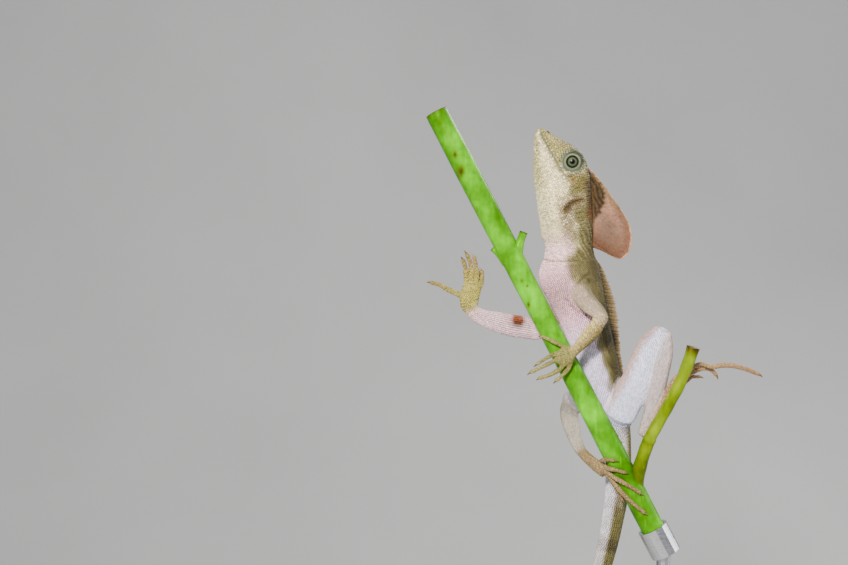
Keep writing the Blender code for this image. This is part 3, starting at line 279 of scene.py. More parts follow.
# Edge of the crest's brown root on the side of the free edge: x, z
BROWN_EDGE = np.array((
    (-7.0, 516.0), (-3.4, 521.0), (0.6, 526.0), (3.2, 531.0), (4.5, 536.0), (3.6, 540.0), (0.8, 544.4),
    (-1.9, 548.2), (-5.2, 551.6),
))

# Back crest: first and last distance from the snout, heights by distance, and the length of a tooth
DORSAL_RUN = (79.0, 177.0)
DORSAL_HEIGHTS = np.array((
    (78.0, 1.0), (86.0, 2.5), (97.0, 4.4), (108.0, 5.3), (119.0, 4.8),
    (134.0, 2.9), (145.0, 2.0), (165.0, 1.4), (178.0, 0.8),
))
TOOTH_PITCH = 1.7

# Stem: a point on its axis, how it leans, its radius, and the heights of its ends
STEM_POINT = np.array((3.6, 0.0, 400.0))
STEM_LEAN = math.radians(27.5)
STEM_RADIUS = 6.5
STEM_TOP = 583.0
STEM_BOTTOM = 341.0
# Twig: rows of x, y, z, radius
TWIG = (
    (19.6, 1.5, 371.0, 4.6), (21.4, -5.0, 385.0, 3.9), (25.9, -10.5, 401.5, 3.5), (33.0, -14.0, 416.0, 3.3),
    (40.0, -17.4, 430.6, 3.3), (44.4, -19.8, 442.5, 3.4), (47.4, -21.4, 452.5, 3.6),
)
# Distance of the twig's node from its root
TWIG_NODE_AT = 33.0
# Cut leaf stalks: height on the axis, degrees round it, the way out, radius, length
STALKS = (
    (503.0, -80.0, (0.34, -0.10, 0.93), 2.3, 9.0),
    (501.0, 96.0, (-0.70, 0.12, 0.70), 2.1, 8.0),
)
# How deep a stalk's root is in the stem, and its form: share of its length, share of its radius
STALK_SUNK = 3.0
STALK_FORM = ((0.0, 1.7), (0.35, 1.25), (0.65, 0.98), (1.0, 1.0))
STEM_RINGS = 260
# Share of the stem's length at which its node is
NODE_AT = 0.325
# Brown scars and dots on the stem's near side: x, z, half width, half height
BARK_MARKS = (
    (-78.0, 549.5, 2.6, 4.4), (-81.5, 558.5, 1.6, 2.2), (-44.2, 488.4, 1.0, 1.0), (-41.2, 485.6, 0.9, 0.8),
    (-40.4, 475.2, 1.1, 2.2), (-3.6, 428.0, 0.8, 0.8), (-20.5, 444.0, 0.7, 0.7),
)

# Nodes that the one skin stands for
FLESH = (
    "head", "lower_jaw", "neck", "torso", "tail_1", "tail_2", "tail_3", "tail_4", "tail_5",
    "left_upper_arm", "left_forearm", "left_hand", "right_upper_arm", "right_forearm", "right_hand",
    "left_thigh", "left_shank", "left_foot", "right_thigh", "right_shank", "right_foot",
)
# Grain of the fused skin and of the fused hands, and how far the skin lies under its scales
SKIN_VOXEL = 0.96
HAND_VOXEL = 0.50
UNDER_SCALES = 0.22
# How much sooner the trunk's colour takes over at the root of an upper arm
SHOULDER_YIELDS = 5.0

# Colours of the coat as they look in the picture, 0 to 255 for red, green and blue
COAT = {
    "head": (221, 216, 200),
    "snout": (188, 183, 128),
    "brow": (186, 178, 144),
    "crown": (152, 144, 108),
    "cheek": (186, 174, 148),
    "throat": (206, 201, 184),
    "chin": (184, 178, 136),
    "temple": (150, 136, 72),
    "temple edge": (116, 104, 58),
    "temple spot rim": (178, 150, 92),
    "temple spot": (110, 84, 40),
    "upper cheek": (142, 130, 82),
    "lips": (158, 152, 92),
    "mouth line": (112, 104, 60),
    "nape": (110, 80, 34),
    "rusty nape": (150, 78, 26),
    "round the eye": (148, 152, 130),
    "shade in the groove behind the eye": (56, 52, 28),
    "below the nostril": (60, 50, 34),
    "ear rim": (188, 178, 154),
    "ear cup": (150, 124, 96),
    "ear shade": (116, 88, 66),
    "ear hole": (92, 70, 54),
    "painted glint": (240, 238, 228),
    "olive fleck": (168, 162, 126),
    "under neck": (228, 216, 216),
    "neck side": (158, 150, 108),
    "neck stripe": (128, 116, 72),
    "dark neck stripe": (92, 82, 44),
    "neck top": (94, 76, 36),
    "pale neck stripe": (196, 188, 148),
    "throat fold": (168, 138, 112),
    "chest": (224, 207, 212),
    "chest shade": (198, 181, 183),
    "belly": (216, 212, 219),
    "flank edge": (172, 164, 124),
    "flank": (116, 106, 64),
    "shoulder": (150, 140, 102),
    "back": (98, 84, 50),
    "back blotch": (78, 66, 36),
    "withers": (96, 80, 44),
    "low shoulder patch": (180, 166, 138),
    "high shoulder patch": (166, 152, 118),
    "shoulder fold shade and blot": (84, 70, 42),
    "back bar": (72, 62, 36),
    "under tail": (208, 206, 208),
    "tail top": (142, 133, 92),
    "under tail's end": (176, 166, 126),
    "tail ring": (80, 66, 40),
    "tail end": (112, 88, 58),
    "arm crease shade": (92, 66, 48),
    "rust spot": (176, 88, 0),
    "dark rust": (100, 58, 20),
    "lid": (138, 146, 128),
    "crest": (194, 167, 152),
    "crest lower rays": (134, 82, 56),
    "crest upper rays": (188, 168, 136),
    "crest low edge": (150, 92, 58),
    "crest mid edge": (148, 112, 88),
    "crest middle": (150, 122, 112),
    "crest blotch": (140, 112, 92),
    "crest root": (94, 66, 14),
    "crest root streak": (50, 32, 4),
    "crest root gleam": (140, 104, 44),
    "crest at the nape": (138, 100, 46),
    "crest rust": (150, 78, 20),
    "crest foot": (88, 68, 28),
    "crest rim": (222, 200, 178),
}


def linear(red, green, blue):
    """The share of light that a surface must send back to look like this screen colour, given as 0 to 255.

    The screen value is turned to light. Bright light is stretched by 1 + SQUEEZE light^SQUEEZE_POWER, because
    a picture squeezes it. The whole is divided by the strength of the studio's light, the blue that the sheen
    adds to a dark surface is taken off, and what is left is kept below BRIGHTEST.
    """
    value = np.array((red, green, blue), float) / 255.0
    light = np.where(value <= 0.04045, value / 12.92, ((value + 0.055) / 1.055) ** 2.4)
    share = light * (1.0 + SQUEEZE * light**SQUEEZE_POWER) / STUDIO_LIGHT
    share[2] -= min(SHEEN_BLUE, 0.5 * share[2])
    return share * min(1.0, BRIGHTEST / max(share.max(), 1e-6))


def unit(vectors):
    """Vectors divided by their own lengths."""
    return vectors / np.maximum(np.linalg.norm(vectors, axis=-1, keepdims=True), 1e-12)


def ease(values, start, end):
    """A smooth step: 0 at start, 1 at end, with no slope at either."""
    t = np.clip((np.asarray(values, float) - start) / (end - start), 0.0, 1.0)
    return t * t * (3.0 - 2.0 * t)


def bell(values, spread):
    """A bump of height 1: e to the minus (value / spread) squared."""
    return np.exp(-((np.asarray(values, float) / spread) ** 2))


def hermite(places, knots, values):
    """A smooth curve through the knots, with the slope at each knot taken from its two neighbours."""
    places = np.asarray(places, float)
    slopes = np.gradient(values, knots, axis=0)
    index = np.clip(np.searchsorted(knots, places, side="right") - 1, 0, len(knots) - 2)
    span = knots[index + 1] - knots[index]
    t = ((places - knots[index]) / span)[:, None]
    span = span[:, None]
    return (
        (2 * t**3 - 3 * t**2 + 1) * values[index]
        + (t**3 - 2 * t**2 + t) * span * slopes[index]
        + (3 * t**2 - 2 * t**3) * values[index + 1]
        + (t**3 - t**2) * span * slopes[index + 1]
    )


def knots_of(rows):
    """Distances along the straight lines between the rows' places."""
    return np.concatenate([[0.0], np.cumsum(np.linalg.norm(np.diff(rows[:, :3], axis=0), axis=1))])


def through(rows, count):
    """The rows' values at even steps along the smooth path through them."""
    rows = np.asarray(rows, float)
    knots = knots_of(rows)
    return hermite(np.linspace(0.0, knots[-1], count), knots, rows)


def between(places, knots, rows):
    """The rows' values at places on the straight lines between the knots."""
    return np.stack([np.interp(places, knots, rows[:, k]) for k in range(rows.shape[1])], axis=-1)


def once_round(count):
    """Evenly spaced angles once round a circle."""
    return np.linspace(0.0, 2 * math.pi, count, endpoint=False)


def power(value, exponent):
    """A power that keeps the value's sign."""
    return np.sign(value) * np.abs(value) ** exponent


class Spine:
    """The line of the body, read by distance from the snout."""

    def __init__(self, points, steps=1200):
        self.path = through(points, steps)
        self.distance = knots_of(self.path)
        self.length = self.distance[-1]

    def read(self, distances):
        return between(distances, self.distance, self.path)

    def at(self, distances):
        """Centres, tangents, directions to the back and directions to the animal's left."""
        distances = np.atleast_1d(np.asarray(distances, float))
        ahead = self.read(np.minimum(distances + 1.5, self.length))
        tangent = unit(ahead - self.read(np.maximum(distances - 1.5, 0.0)))
        back = unit(BACK_HINT - (tangent @ BACK_HINT)[:, None] * tangent)
        return self.read(distances), tangent, back, np.cross(tangent, back)

    def find(self, points, limit):
        """For each point: its distance along the spine, its angle from the back, and its reach from there."""
        samples = self.distance < limit
        path, where = self.path[samples], self.distance[samples]
        nearest = np.empty(len(points), int)
        for start in range(0, len(points), 8000):
            some = points[start:start + 8000]
            gaps = (some**2).sum(1)[:, None] - 2 * some @ path.T + (path**2).sum(1)[None]
            nearest[start:start + 8000] = gaps.argmin(1)
        along = where[nearest]
        centre, _, back, left = self.at(along)
        offset = points - centre
        high, side = (offset * back).sum(1), (offset * left).sum(1)
        return along, np.arctan2(side, high), np.hypot(high, side)


def trunk_surface(spine, distances, angles):
    """The body's surface: at each distance an oval whose back and belly halves have their own reach.

    Height is reach times cos(angle) to a power, width is half width times sin(angle) to the same power, and
    the head's swellings scale both by a bump.
    """
    distances = np.atleast_1d(distances).astype(float)
    angles = np.atleast_1d(angles).astype(float)
    centre, _, back, left = spine.at(distances)
    row = hermite(np.minimum(distances, TRUNK[-1, 0]), TRUNK[:, 0], TRUNK[:, 1:])
    end = np.clip((spine.length - distances) / TAIL_TIP, TAIL_TIP_SHARE, 1.0)[:, None]
    up, down, wide, round_back, round_belly = (row[:, k:k + 1] for k in range(5))
    cosine, sine = np.cos(angles)[None, :], np.sin(angles)[None, :]
    roundness = np.where(cosine > 0, round_back, round_belly)
    high = np.where(cosine > 0, up, down) * power(cosine, roundness) * end
    side = wide * power(sine, roundness) * end
    turn = np.degrees(np.arccos(np.clip(np.cos(angles), -1, 1)))[None, :]
    size = np.sqrt(high**2 + side**2) + 1e-9
    grow = np.zeros_like(size)
    for where, angle, height, along, around in HEAD_FORMS:
        grow += height * bell(distances[:, None] - where, along) * bell(turn - angle, around)
    high, side = high * (1 + grow / size), side * (1 + grow / size)
    return centre[:, None] + high[..., None] * back[:, None] + side[..., None] * left[:, None]


class Tube:
    """A smooth tube of oval section through rows of x, y, z, half width and half depth, with round ends."""

    def __init__(self, rows, hint, count=60):
        rows = np.asarray(rows, float)
        if rows.shape[1] == 4:
            rows = np.hstack([rows, rows[:, 3:4]])
        self.fine = through(rows, count)
        self.path = self.fine[:, :3]
        self.run = knots_of(self.fine)
        self.length = self.run[-1]
        hint = np.asarray(hint, float)
        self.tangent = unit(np.gradient(self.path, axis=0))
        self.across = unit(hint - (self.tangent @ hint)[:, None] * self.tangent)
        self.other = np.cross(self.tangent, self.across)

    def frame_at(self, distances):
        """Row, tangent, direction across and the other direction at each distance."""
        values = self.fine, self.tangent, self.across, self.other
        return tuple(between(distances, self.run, rows) for rows in values)

    def surface(self, distances, angles):
        """Rings of the tube: centre + width cos(angle) across + depth sin(angle) the other way.

        Before the first row and past the last one the ring shrinks as a half circle does.
        """
        distances = np.atleast_1d(distances).astype(float)
        inside = np.clip(distances, 0.0, self.length)
        fine, tangent, across, other = self.frame_at(inside)
        radius = (fine[:, 3] + fine[:, 4]) / 2
        past = distances - inside
        shrink = np.sqrt(np.clip(1.0 - (past / radius) ** 2, 0.0, 1.0))
        centre = fine[:, :3] + past[:, None] * tangent
        cosine, sine = np.cos(angles), np.sin(angles)
        wide, deep = (fine[:, 3] * shrink)[:, None, None], (fine[:, 4] * shrink)[:, None, None]
        return (
            centre[:, None]
            + wide * cosine[None, :, None] * across[:, None]
            + deep * sine[None, :, None] * other[:, None]
        )


def digit_rows(rows):
    """A digit's rows with two soft knuckles along it."""
    path = through(rows, 6 * len(rows))
    path[:, 3] *= 1.0 + 0.09 * np.cos(np.linspace(0.0, 4.0 * math.pi, len(path)))
    return path


def on_stem(height, degrees, reach):
    """A point at a distance from the stem's axis, by height on the axis and angle round it from the front."""
    lean = math.tan(STEM_LEAN)
    axis = STEM_POINT + np.array(((STEM_POINT[2] - height) * lean, 0.0, height - STEM_POINT[2]))
    front = np.array((0.0, -1.0, 0.0))
    side = np.array((-math.cos(STEM_LEAN), 0.0, -math.sin(STEM_LEAN)))
    angle = math.radians(degrees)
    return axis + reach * (math.cos(angle) * front + math.sin(angle) * side)


class Parts:
    """Points with their quads and triangles, gathered from several surfaces into one mesh."""

    def __init__(self):
        self.points, self.quads, self.triangles, self.values = [], [], [], {}
        self.count = 0

    def add(self, points, quads=None, triangles=None, **values):
        """Keeps points, faces between them, and numbers or colours for the points."""
        if quads is not None:
            self.quads.append(np.asarray(quads) + self.count)
        if triangles is not None:
            self.triangles.append(np.asarray(triangles) + self.count)
        for name, value in values.items():
            value = np.asarray(value, float)
            if value.ndim == 0:
                value = np.full(len(points), float(value))
            self.values.setdefault(name, []).append(value)
        self.points.append(points)
        self.count += len(points)

    def add_grid(self, grid, **values):
        """A grid of rings that closes round each ring, with a point in the middle of each end ring."""
        rows, sides = grid.shape[:2]
        ring = np.arange(sides)
        after = (ring + 1) % sides
        starts = np.arange(rows - 1)[:, None] * sides
        first, second = starts + ring, starts + after
        quads = np.stack([first, second, second + sides, first + sides], axis=-1).reshape(-1, 4)
        start, end, last = rows * sides, rows * sides + 1, (rows - 1) * sides
        triangles = np.vstack([
            np.stack([after, ring, np.full(sides, start)], axis=1),
            np.stack([ring + last, after + last, np.full(sides, end)], axis=1),
        ])
        points = np.vstack([grid.reshape(-1, 3), grid[0].mean(0), grid[-1].mean(0)])
        flat = {}
        for name, value in values.items():
            value = np.asarray(value, float)
            if value.ndim == 0:
                flat[name] = value
            else:
                tail = value.shape[2:]
                value = np.broadcast_to(value, (rows, sides, *tail))
                middle = value[0].mean(0)[None], value[-1].mean(0)[None]
                flat[name] = np.concatenate([value.reshape(-1, *tail), *middle])
        self.add(points, quads, triangles, **flat)

    def object(self, name):
        """One mesh of everything gathered, as an object at the origin."""
        points = np.vstack(self.points)
        quads = np.vstack([np.zeros((0, 4), int), *self.quads])
        triangles = np.vstack([np.zeros((0, 3), int), *self.triangles])
        mesh = bpy.data.meshes.new(name)
        mesh.vertices.add(len(points))
        mesh.vertices.foreach_set("co", (points * MM).ravel())
        loops = np.concatenate([quads.ravel(), triangles.ravel()]).astype(np.int32)
        starts = np.concatenate([
            np.arange(len(quads)) * 4, len(quads) * 4 + np.arange(len(triangles)) * 3,
        ]).astype(np.int32)
        mesh.loops.add(len(loops))
        mesh.loops.foreach_set("vertex_index", loops)
        mesh.polygons.add(len(starts))
        mesh.polygons.foreach_set("loop_start", starts)
        mesh.update(calc_edges=True)
        mesh.validate()
        for key, chunks in self.values.items():
            store(mesh, key, np.concatenate(chunks))
        mesh.shade_smooth()
        made = bpy.data.objects.new(name, mesh)
        bpy.context.scene.collection.objects.link(made)
        return made

    def piece(self, name, material):
        """The object with its faces turned outwards and its finish on."""
        made = self.object(name)
        outward(made)
        made.data.materials.append(material)
        return made


def store(mesh, name, values):
    """Keeps a number or a colour per point on the mesh for its material."""
    values = np.asarray(values, float)
    if values.ndim == 1:
        layer = mesh.attributes.new(name, "FLOAT", "POINT")
        layer.data.foreach_set("value", values)
    else:
        layer = mesh.attributes.new(name, "FLOAT_COLOR", "POINT")
        if values.shape[1] == 3:
            values = np.hstack([values, np.ones((len(values), 1))])
        layer.data.foreach_set("color", values.ravel())


def points_of(mesh):
    """Places of a mesh's points in millimetres."""
    points = np.empty(len(mesh.vertices) * 3)
    mesh.vertices.foreach_get("co", points)
    return points.reshape(-1, 3) / MM


def set_points(mesh, points):
    """Moves a mesh's points to these places."""
    mesh.vertices.foreach_set("co", (points * MM).ravel())
    mesh.update()


def normals_of(mesh):
    """Directions out of a mesh at its points."""
    normals = np.empty(len(mesh.vertices) * 3)
    mesh.vertex_normals.foreach_get("vector", normals)
    return normals.reshape(-1, 3)


def edges_of(mesh):
    """The two points of each edge of a mesh."""
    edges = np.empty(len(mesh.edges) * 2, np.int32)
    mesh.edges.foreach_get("vertices", edges)
    return edges.reshape(-1, 2)


def outward(item):
    """Turns every face of a closed mesh outwards."""
    work = bmesh.new()
    work.from_mesh(item.data)
    bmesh.ops.recalc_face_normals(work, faces=work.faces)
    work.to_mesh(item.data)
    work.free()


def average(points, edges, weight, rounds):
    """Moves points towards the mean of their neighbours, as far as their weight says."""
    first, second = edges[:, 0], edges[:, 1]
    degree = np.bincount(np.concatenate([first, second]), minlength=len(points)).astype(float)
    for step in rounds:
        total = np.stack([
            np.bincount(first, points[second, k], len(points))
            + np.bincount(second, points[first, k], len(points))
            for k in range(3)
        ], axis=1)
        points = points + (total / degree[:, None] - points) * (weight * step)[:, None]
    return points


def eye_place(spine, side):
    """Centre of an eyeball and the direction it looks in."""
    distance, degrees = EYE_AT
    angle = math.radians(degrees) * side
    point = trunk_surface(spine, [distance], [angle])[0, 0]
    _, tangent, back, left = spine.at([distance])
    out = unit(left[0] * side - back[0] * EYE_DOWN + tangent[0] * EYE_REARWARD)
    return point - out * (EYE_RADIUS - EYE_PROUD), out


def about_eye(points, eye, out):
    """Height of each point out of the eye's middle, and its distance from the line of the eye's look."""
    offset = points - eye
    height = offset @ out
    return height, np.linalg.norm(offset - height[:, None] * out, axis=1)


def across_of(direction):
    """Two directions at right angles to the given one, the first as near upwards as can be."""
    upwards = np.array((0.0, 0.0, 1.0))
    first = unit(upwards - (upwards @ direction) * direction)
    return first, np.cross(direction, first)


def spokes(angle, direction, tall=1.0, broad=1.0):
    """Directions round the given one: first cos(angle) + second sin(angle), each with its own stretch."""
    first, second = across_of(direction)
    return np.cos(angle)[:, None] * first * tall + np.sin(angle)[:, None] * second * broad


def there_and_back(first, second):
    """Rings that run along the first surface and back along the second."""
    return np.concatenate([first, second[:, ::-1]], axis=1)


def line_gap(points, line):
    """Distance in the X Z plane from points to a line of straight lengths."""
    flat = points[:, (0, 2)]
    best = np.full(len(points), 1e9)
    for a, b in zip(line[:-1], line[1:]):
        t = np.clip(((flat - a) @ (b - a)) / ((b - a) @ (b - a)), 0.0, 1.0)
        best = np.minimum(best, np.linalg.norm(flat - (a + t[:, None] * (b - a)), axis=1))
    return best


def ear_gap(points, along, degrees):
    """How far a point is outside the ear's rim: its distance from the ear's line, less a half width there."""
    half = EAR_HALF - EAR_NARROWS * (points[:, 0] - EAR_LINE[0, 0])
    beside = (along > 38.0) & (along < 60.0) & (degrees > 35.0) & (degrees < 115.0)
    return np.where(beside, line_gap(points, EAR_LINE) - half, 50.0)


def settle(item):
    """Turns an object's modifiers into its mesh."""
    graph = bpy.context.evaluated_depsgraph_get()
    mesh = bpy.data.meshes.new_from_object(item.evaluated_get(graph))
    item.modifiers.clear()
    item.data = mesh


def fuse(item, voxel):
    """Joins overlapping closed forms into one surface of even small faces."""
    outward(item)
    step = item.modifiers.new("one surface", "REMESH")
    step.mode = "VOXEL"
    step.voxel_size = voxel * MM
    settle(item)
    return item


def grow_skin(spine, tubes):
    """One skin: the body with its limbs, and finer hands and feet, each fused from tubes, then smoothed."""
    body = Parts()
    stops = np.concatenate([
        np.arange(0.0, NECK_END, 0.8), np.arange(NECK_END, spine.length, 1.6), [spine.length],
    ])
    body.add_grid(trunk_surface(spine, stops, once_round(96)))
    hands = {name: Parts() for name in (*DIGITS, "right_foot")}
    quarter = np.sin(np.linspace(0.2, math.pi / 2, 6))
    for name, tube in tubes.items():
        whose = hands.get(name.split("_digit")[0], body)
        count = 24 if "digit" in name else 40
        radius = tube.fine[0, 3:5].mean(), tube.fine[-1, 3:5].mean()
        stops = np.concatenate([
            -radius[0] * quarter[::-1], np.linspace(0.0, tube.length, max(int(tube.length / 0.6), 8)),
            tube.length + radius[1] * quarter,
        ])
        whose.add_grid(tube.surface(stops, once_round(count)))
    skin = fuse(body.object("skin"), SKIN_VOXEL)
    for name, form in hands.items():
        hand = fuse(form.object(name + "_skin"), HAND_VOXEL)
        join = skin.modifiers.new("hand", "BOOLEAN")
        join.operation = "UNION"
        join.solver = "MANIFOLD"
        join.object = hand
        settle(skin)
        bpy.data.objects.remove(hand)
    mesh = skin.data
    points, edges = points_of(mesh), edges_of(mesh)
    joints = np.array([tube.path[0] for name, tube in tubes.items() if "digit" not in name])
    near = np.linalg.norm(points[:, None] - joints[None], axis=2).min(1)
    points = average(points, edges, bell(near, 6.0), [0.5] * 14)
    points = average(points, edges, np.ones(len(points)), [0.5, -0.53] * 5)
    set_points(mesh, points)
    set_points(mesh, points - normals_of(mesh) * UNDER_SCALES)
    return skin


def cut_finer(skin, inside):
    """Cuts in two every edge between the chosen points, and so their faces in four."""
    work = bmesh.new()
    work.from_mesh(skin.data)
    work.verts.ensure_lookup_table()
    chosen = [edge for edge in work.edges if inside[edge.verts[0].index] and inside[edge.verts[1].index]]
    bmesh.ops.subdivide_edges(work, edges=chosen, cuts=1, use_grid_fill=True)
    work.to_mesh(skin.data)
    work.free()


def head_relief(points, along, turn):
    """How far the head's points are raised: lips beside a groove, brows, the ear's cup, the throat's folds.

    Each is a bump or a smooth step by the distance from its line, and a fold has a low swelling behind it.
    """
    gap = line_gap(points, MOUTH_LINE)
    lips = (along > 1.5) & (along < 33.0) & (turn > 55.0)
    groove = (0.26 + 0.24 * ease(along, 20.0, 8.0)) * bell(gap, 0.45)
    raised = lips * (0.24 * bell(gap - 1.0, 0.75) - groove)
    brow = bell(turn - 40.0, 10.0) * ease(along, 5.0, 12.0) * ease(along, 33.0, 25.0)
    raised += 0.45 * brow
    ear = ear_gap(points, along, turn)
    raised += 0.22 * bell(ear - 0.5, 0.6) - EAR_DEPTH * ease(ear, 0.3, -1.4)
    for where, depth, spread, start, end, slant in THROAT_FOLDS:
        past = along - (where + slant * (turn - (start + end) / 2))
        span = ease(turn, start - 6, start + 10) * ease(turn, end + 8, end - 10)
        swelling = depth * 0.6 * bell(past - spread * 1.9, spread)
        raised += span * (-depth * bell(past, spread) + swelling)
    return raised


def refine_head(skin, spine):
    """Cuts the head's faces in four, then raises its relief in them and sinks the seats of the lids."""
    points = points_of(skin.data)
    middle, ahead, _, _ = spine.at([66.0])
    cut_finer(skin, ((points - middle[0]) @ ahead[0] < 0) & (points[:, 2] > 505.0))
    mesh = skin.data
    points, edges, normals = points_of(mesh), edges_of(mesh), normals_of(mesh)
    head = (points[:, 2] > 480.0) & (np.abs(points[:, 1] - MIDLINE) < 20.0)
    points = average(points, edges, head * 1.0, [0.5, -0.53] * 2)
    along, turn, _ = spine.find(points, 200.0)
    head = head & (along < 110.0)
    raised = head_relief(points, along, np.degrees(np.abs(turn)))
    points = points + normals * (raised * head)[:, None]
    for side in (1, -1):
        eye, out = eye_place(spine, side)
        height, reach = about_eye(points, eye, out)
        sink = ease(reach, 6.0, 4.7) * (height > 0) * head
        points = points + out * (np.minimum(LID_SEAT - height, 0.0) * sink)[:, None]
    set_points(mesh, points)
    mesh.shade_smooth()


class Paint:
    """A colour for each point, with others laid over it where their masks say."""

    def __init__(self, colour, shape):
        self.colour = np.broadcast_to(linear(*colour), (*shape, 3)).copy()

    def over(self, colour, mask):
        """Blends towards a colour by the mask, from 0 to 1."""
        self.colour += (linear(*colour) - self.colour) * np.clip(mask, 0.0, 1.0)[..., None]


def paint_face(paint, points, along, degrees, wave):
    """Snout, brows, crown, cheeks, throat, temples, lips and nape; gives back two of the masks."""
    gap = line_gap(points, MOUTH_LINE)
    snout = ease(degrees, 104, 74) * ease(along, 34, 20)
    paint.over(COAT["snout"], snout * 0.95)
    paint.over(COAT["brow"], bell(degrees - 40, 9) * ease(along, 30, 24))
    paint.over(COAT["crown"], ease(degrees, 38, 16))
    paint.over(COAT["cheek"], ease(along, 36, 50) * ease(degrees, 66, 90) * ease(degrees, 128, 100))
    paint.over(COAT["throat"], ease(along, 30, 48) * ease(degrees, 112, 142) * 0.9)
    paint.over(COAT["chin"], ease(degrees, 116, 148) * ease(along, 46, 28) * 0.8)
    temple = ease(along, 27, 34) * ease(along, 62, 52) * ease(degrees + 2.5 * wave, 91, 62)
    paint.over(COAT["temple"], temple * 0.95)
    paint.over(COAT["temple edge"], bell(along - 31.2, 1.3) * bell(degrees - 62, 15) * 0.65)
    paint.over(COAT["temple spot rim"], bell(along - 33.6, 1.7) * bell(degrees - 58, 7) * 0.8)
    paint.over(COAT["temple spot"], bell(along - 33.7, 0.75) * bell(degrees - 58, 3.2) * 0.8)
    paint.over(COAT["upper cheek"], bell(along - 53, 9) * ease(degrees, 96, 56) * 0.85)
    paint.over(COAT["lips"], ease(along, 34, 26) * bell(gap - 0.4, 1.0) * (along > 3) * 0.75)
    paint.over(COAT["mouth line"], bell(gap, 0.32) * (degrees > 55) * ease(along, 24, 9) * 0.7)
    nape = ease(along, 33, 38) * ease(along, 64, 55) * ease(degrees, 46, 25)
    paint.over(COAT["nape"], nape * 0.95)
    paint.over(COAT["rusty nape"], nape * bell(along - 55, 4) * 0.8)
    return snout, temple


def paint_ear(paint, points, along, degrees):
    """The ear's rim, cup, the shade under its upper edge and its hole; gives back the gap to the rim."""
    ear = ear_gap(points, along, degrees)
    paint.over(COAT["ear rim"], ease(ear, 5.0, 1.0) * 0.5)
    fade = ease(points[:, 0], -8.6, -13.0)
    paint.over(COAT["ear cup"], ease(ear, 1.1, -0.3) * (0.65 + 0.30 * fade))
    above = ease(points[:, 2] - np.interp(points[:, 0], EAR_LINE[:, 0], EAR_LINE[:, 1]), -0.6, 1.0)
    paint.over(COAT["ear shade"], bell(ear + 0.4, 0.8) * (0.10 + 0.50 * above) * (0.4 + 0.6 * fade))
    hole = np.hypot(points[:, 0] - EAR_HOLE[0], (points[:, 2] - EAR_HOLE[1]) * 0.7)
    paint.over(COAT["ear hole"], ease(hole, 1.5, 0.5) * (along > 38.0) * (along < 60.0) * 0.6)
    return ear


def paint_flecks(paint, points, along, degrees, calm):
    """Pale flecks that are painted glints of glossy scales, and olive flecks, on the sides of the head, by a
    product of warped waves.
    """
    fleck = np.sin(points[:, 0] * 3.1 + 2.1 * np.sin(points[:, 2] * 2.0))
    fleck = fleck * np.sin(points[:, 2] * 2.7 + 1.9 * np.sin(points[:, 0] * 2.4 + points[:, 1]))
    sides = ease(along, 66, 56) * ease(along, 3, 9) * ease(degrees, 30, 60) * calm
    # Painted highlight: pale flecks stand for glints on the glossy scales
    paint.over(COAT["painted glint"], ease(fleck, 0.15, 0.9) * sides * 0.55)
    faint = 0.40 - 0.25 * ease(degrees, 120, 150)
    paint.over(COAT["olive fleck"], ease(fleck, -0.25, -0.95) * sides * faint)


def paint_neck(paint, along, degrees, wave):
    """The neck: pale below, olive and striped at the sides, dark on top, with the fold behind the throat."""
    neck = ease(along, 52, 62) * ease(along, 100, 82)
    upper = 20.0 * ease(along, 78, 70)
    paint.over(COAT["under neck"], ease(along, 59, 72) * ease(degrees + 4.0 * wave + upper, 90, 128))
    side = neck * ease(degrees + 5.0 * wave + upper - 14.0 * ease(along, 72, 82), 106, 74)
    paint.over(COAT["neck side"], side)
    stripe = 0.5 + 0.5 * np.sin(1.05 * along + degrees * 0.40 + 0.9 * wave)
    paint.over(COAT["neck stripe"], side * ease(degrees, 100, 58) * 0.5)
    paint.over(COAT["dark neck stripe"], side * ease(degrees, 112, 84) * bell(stripe - 1.0, 0.30) * 0.28)
    paint.over(COAT["neck top"], neck * ease(degrees - 12.0 * ease(along, 72, 80), 46, 24) * 0.85)
    paint.over(COAT["pale neck stripe"], side * bell(stripe, 0.20) * ease(degrees, 116, 90) * 0.28)
    line = 77.0 - 0.030 * (degrees - 125.0)
    paint.over(COAT["throat fold"], bell(along - line, 0.45) * ease(degrees, 72, 92) * 0.7)


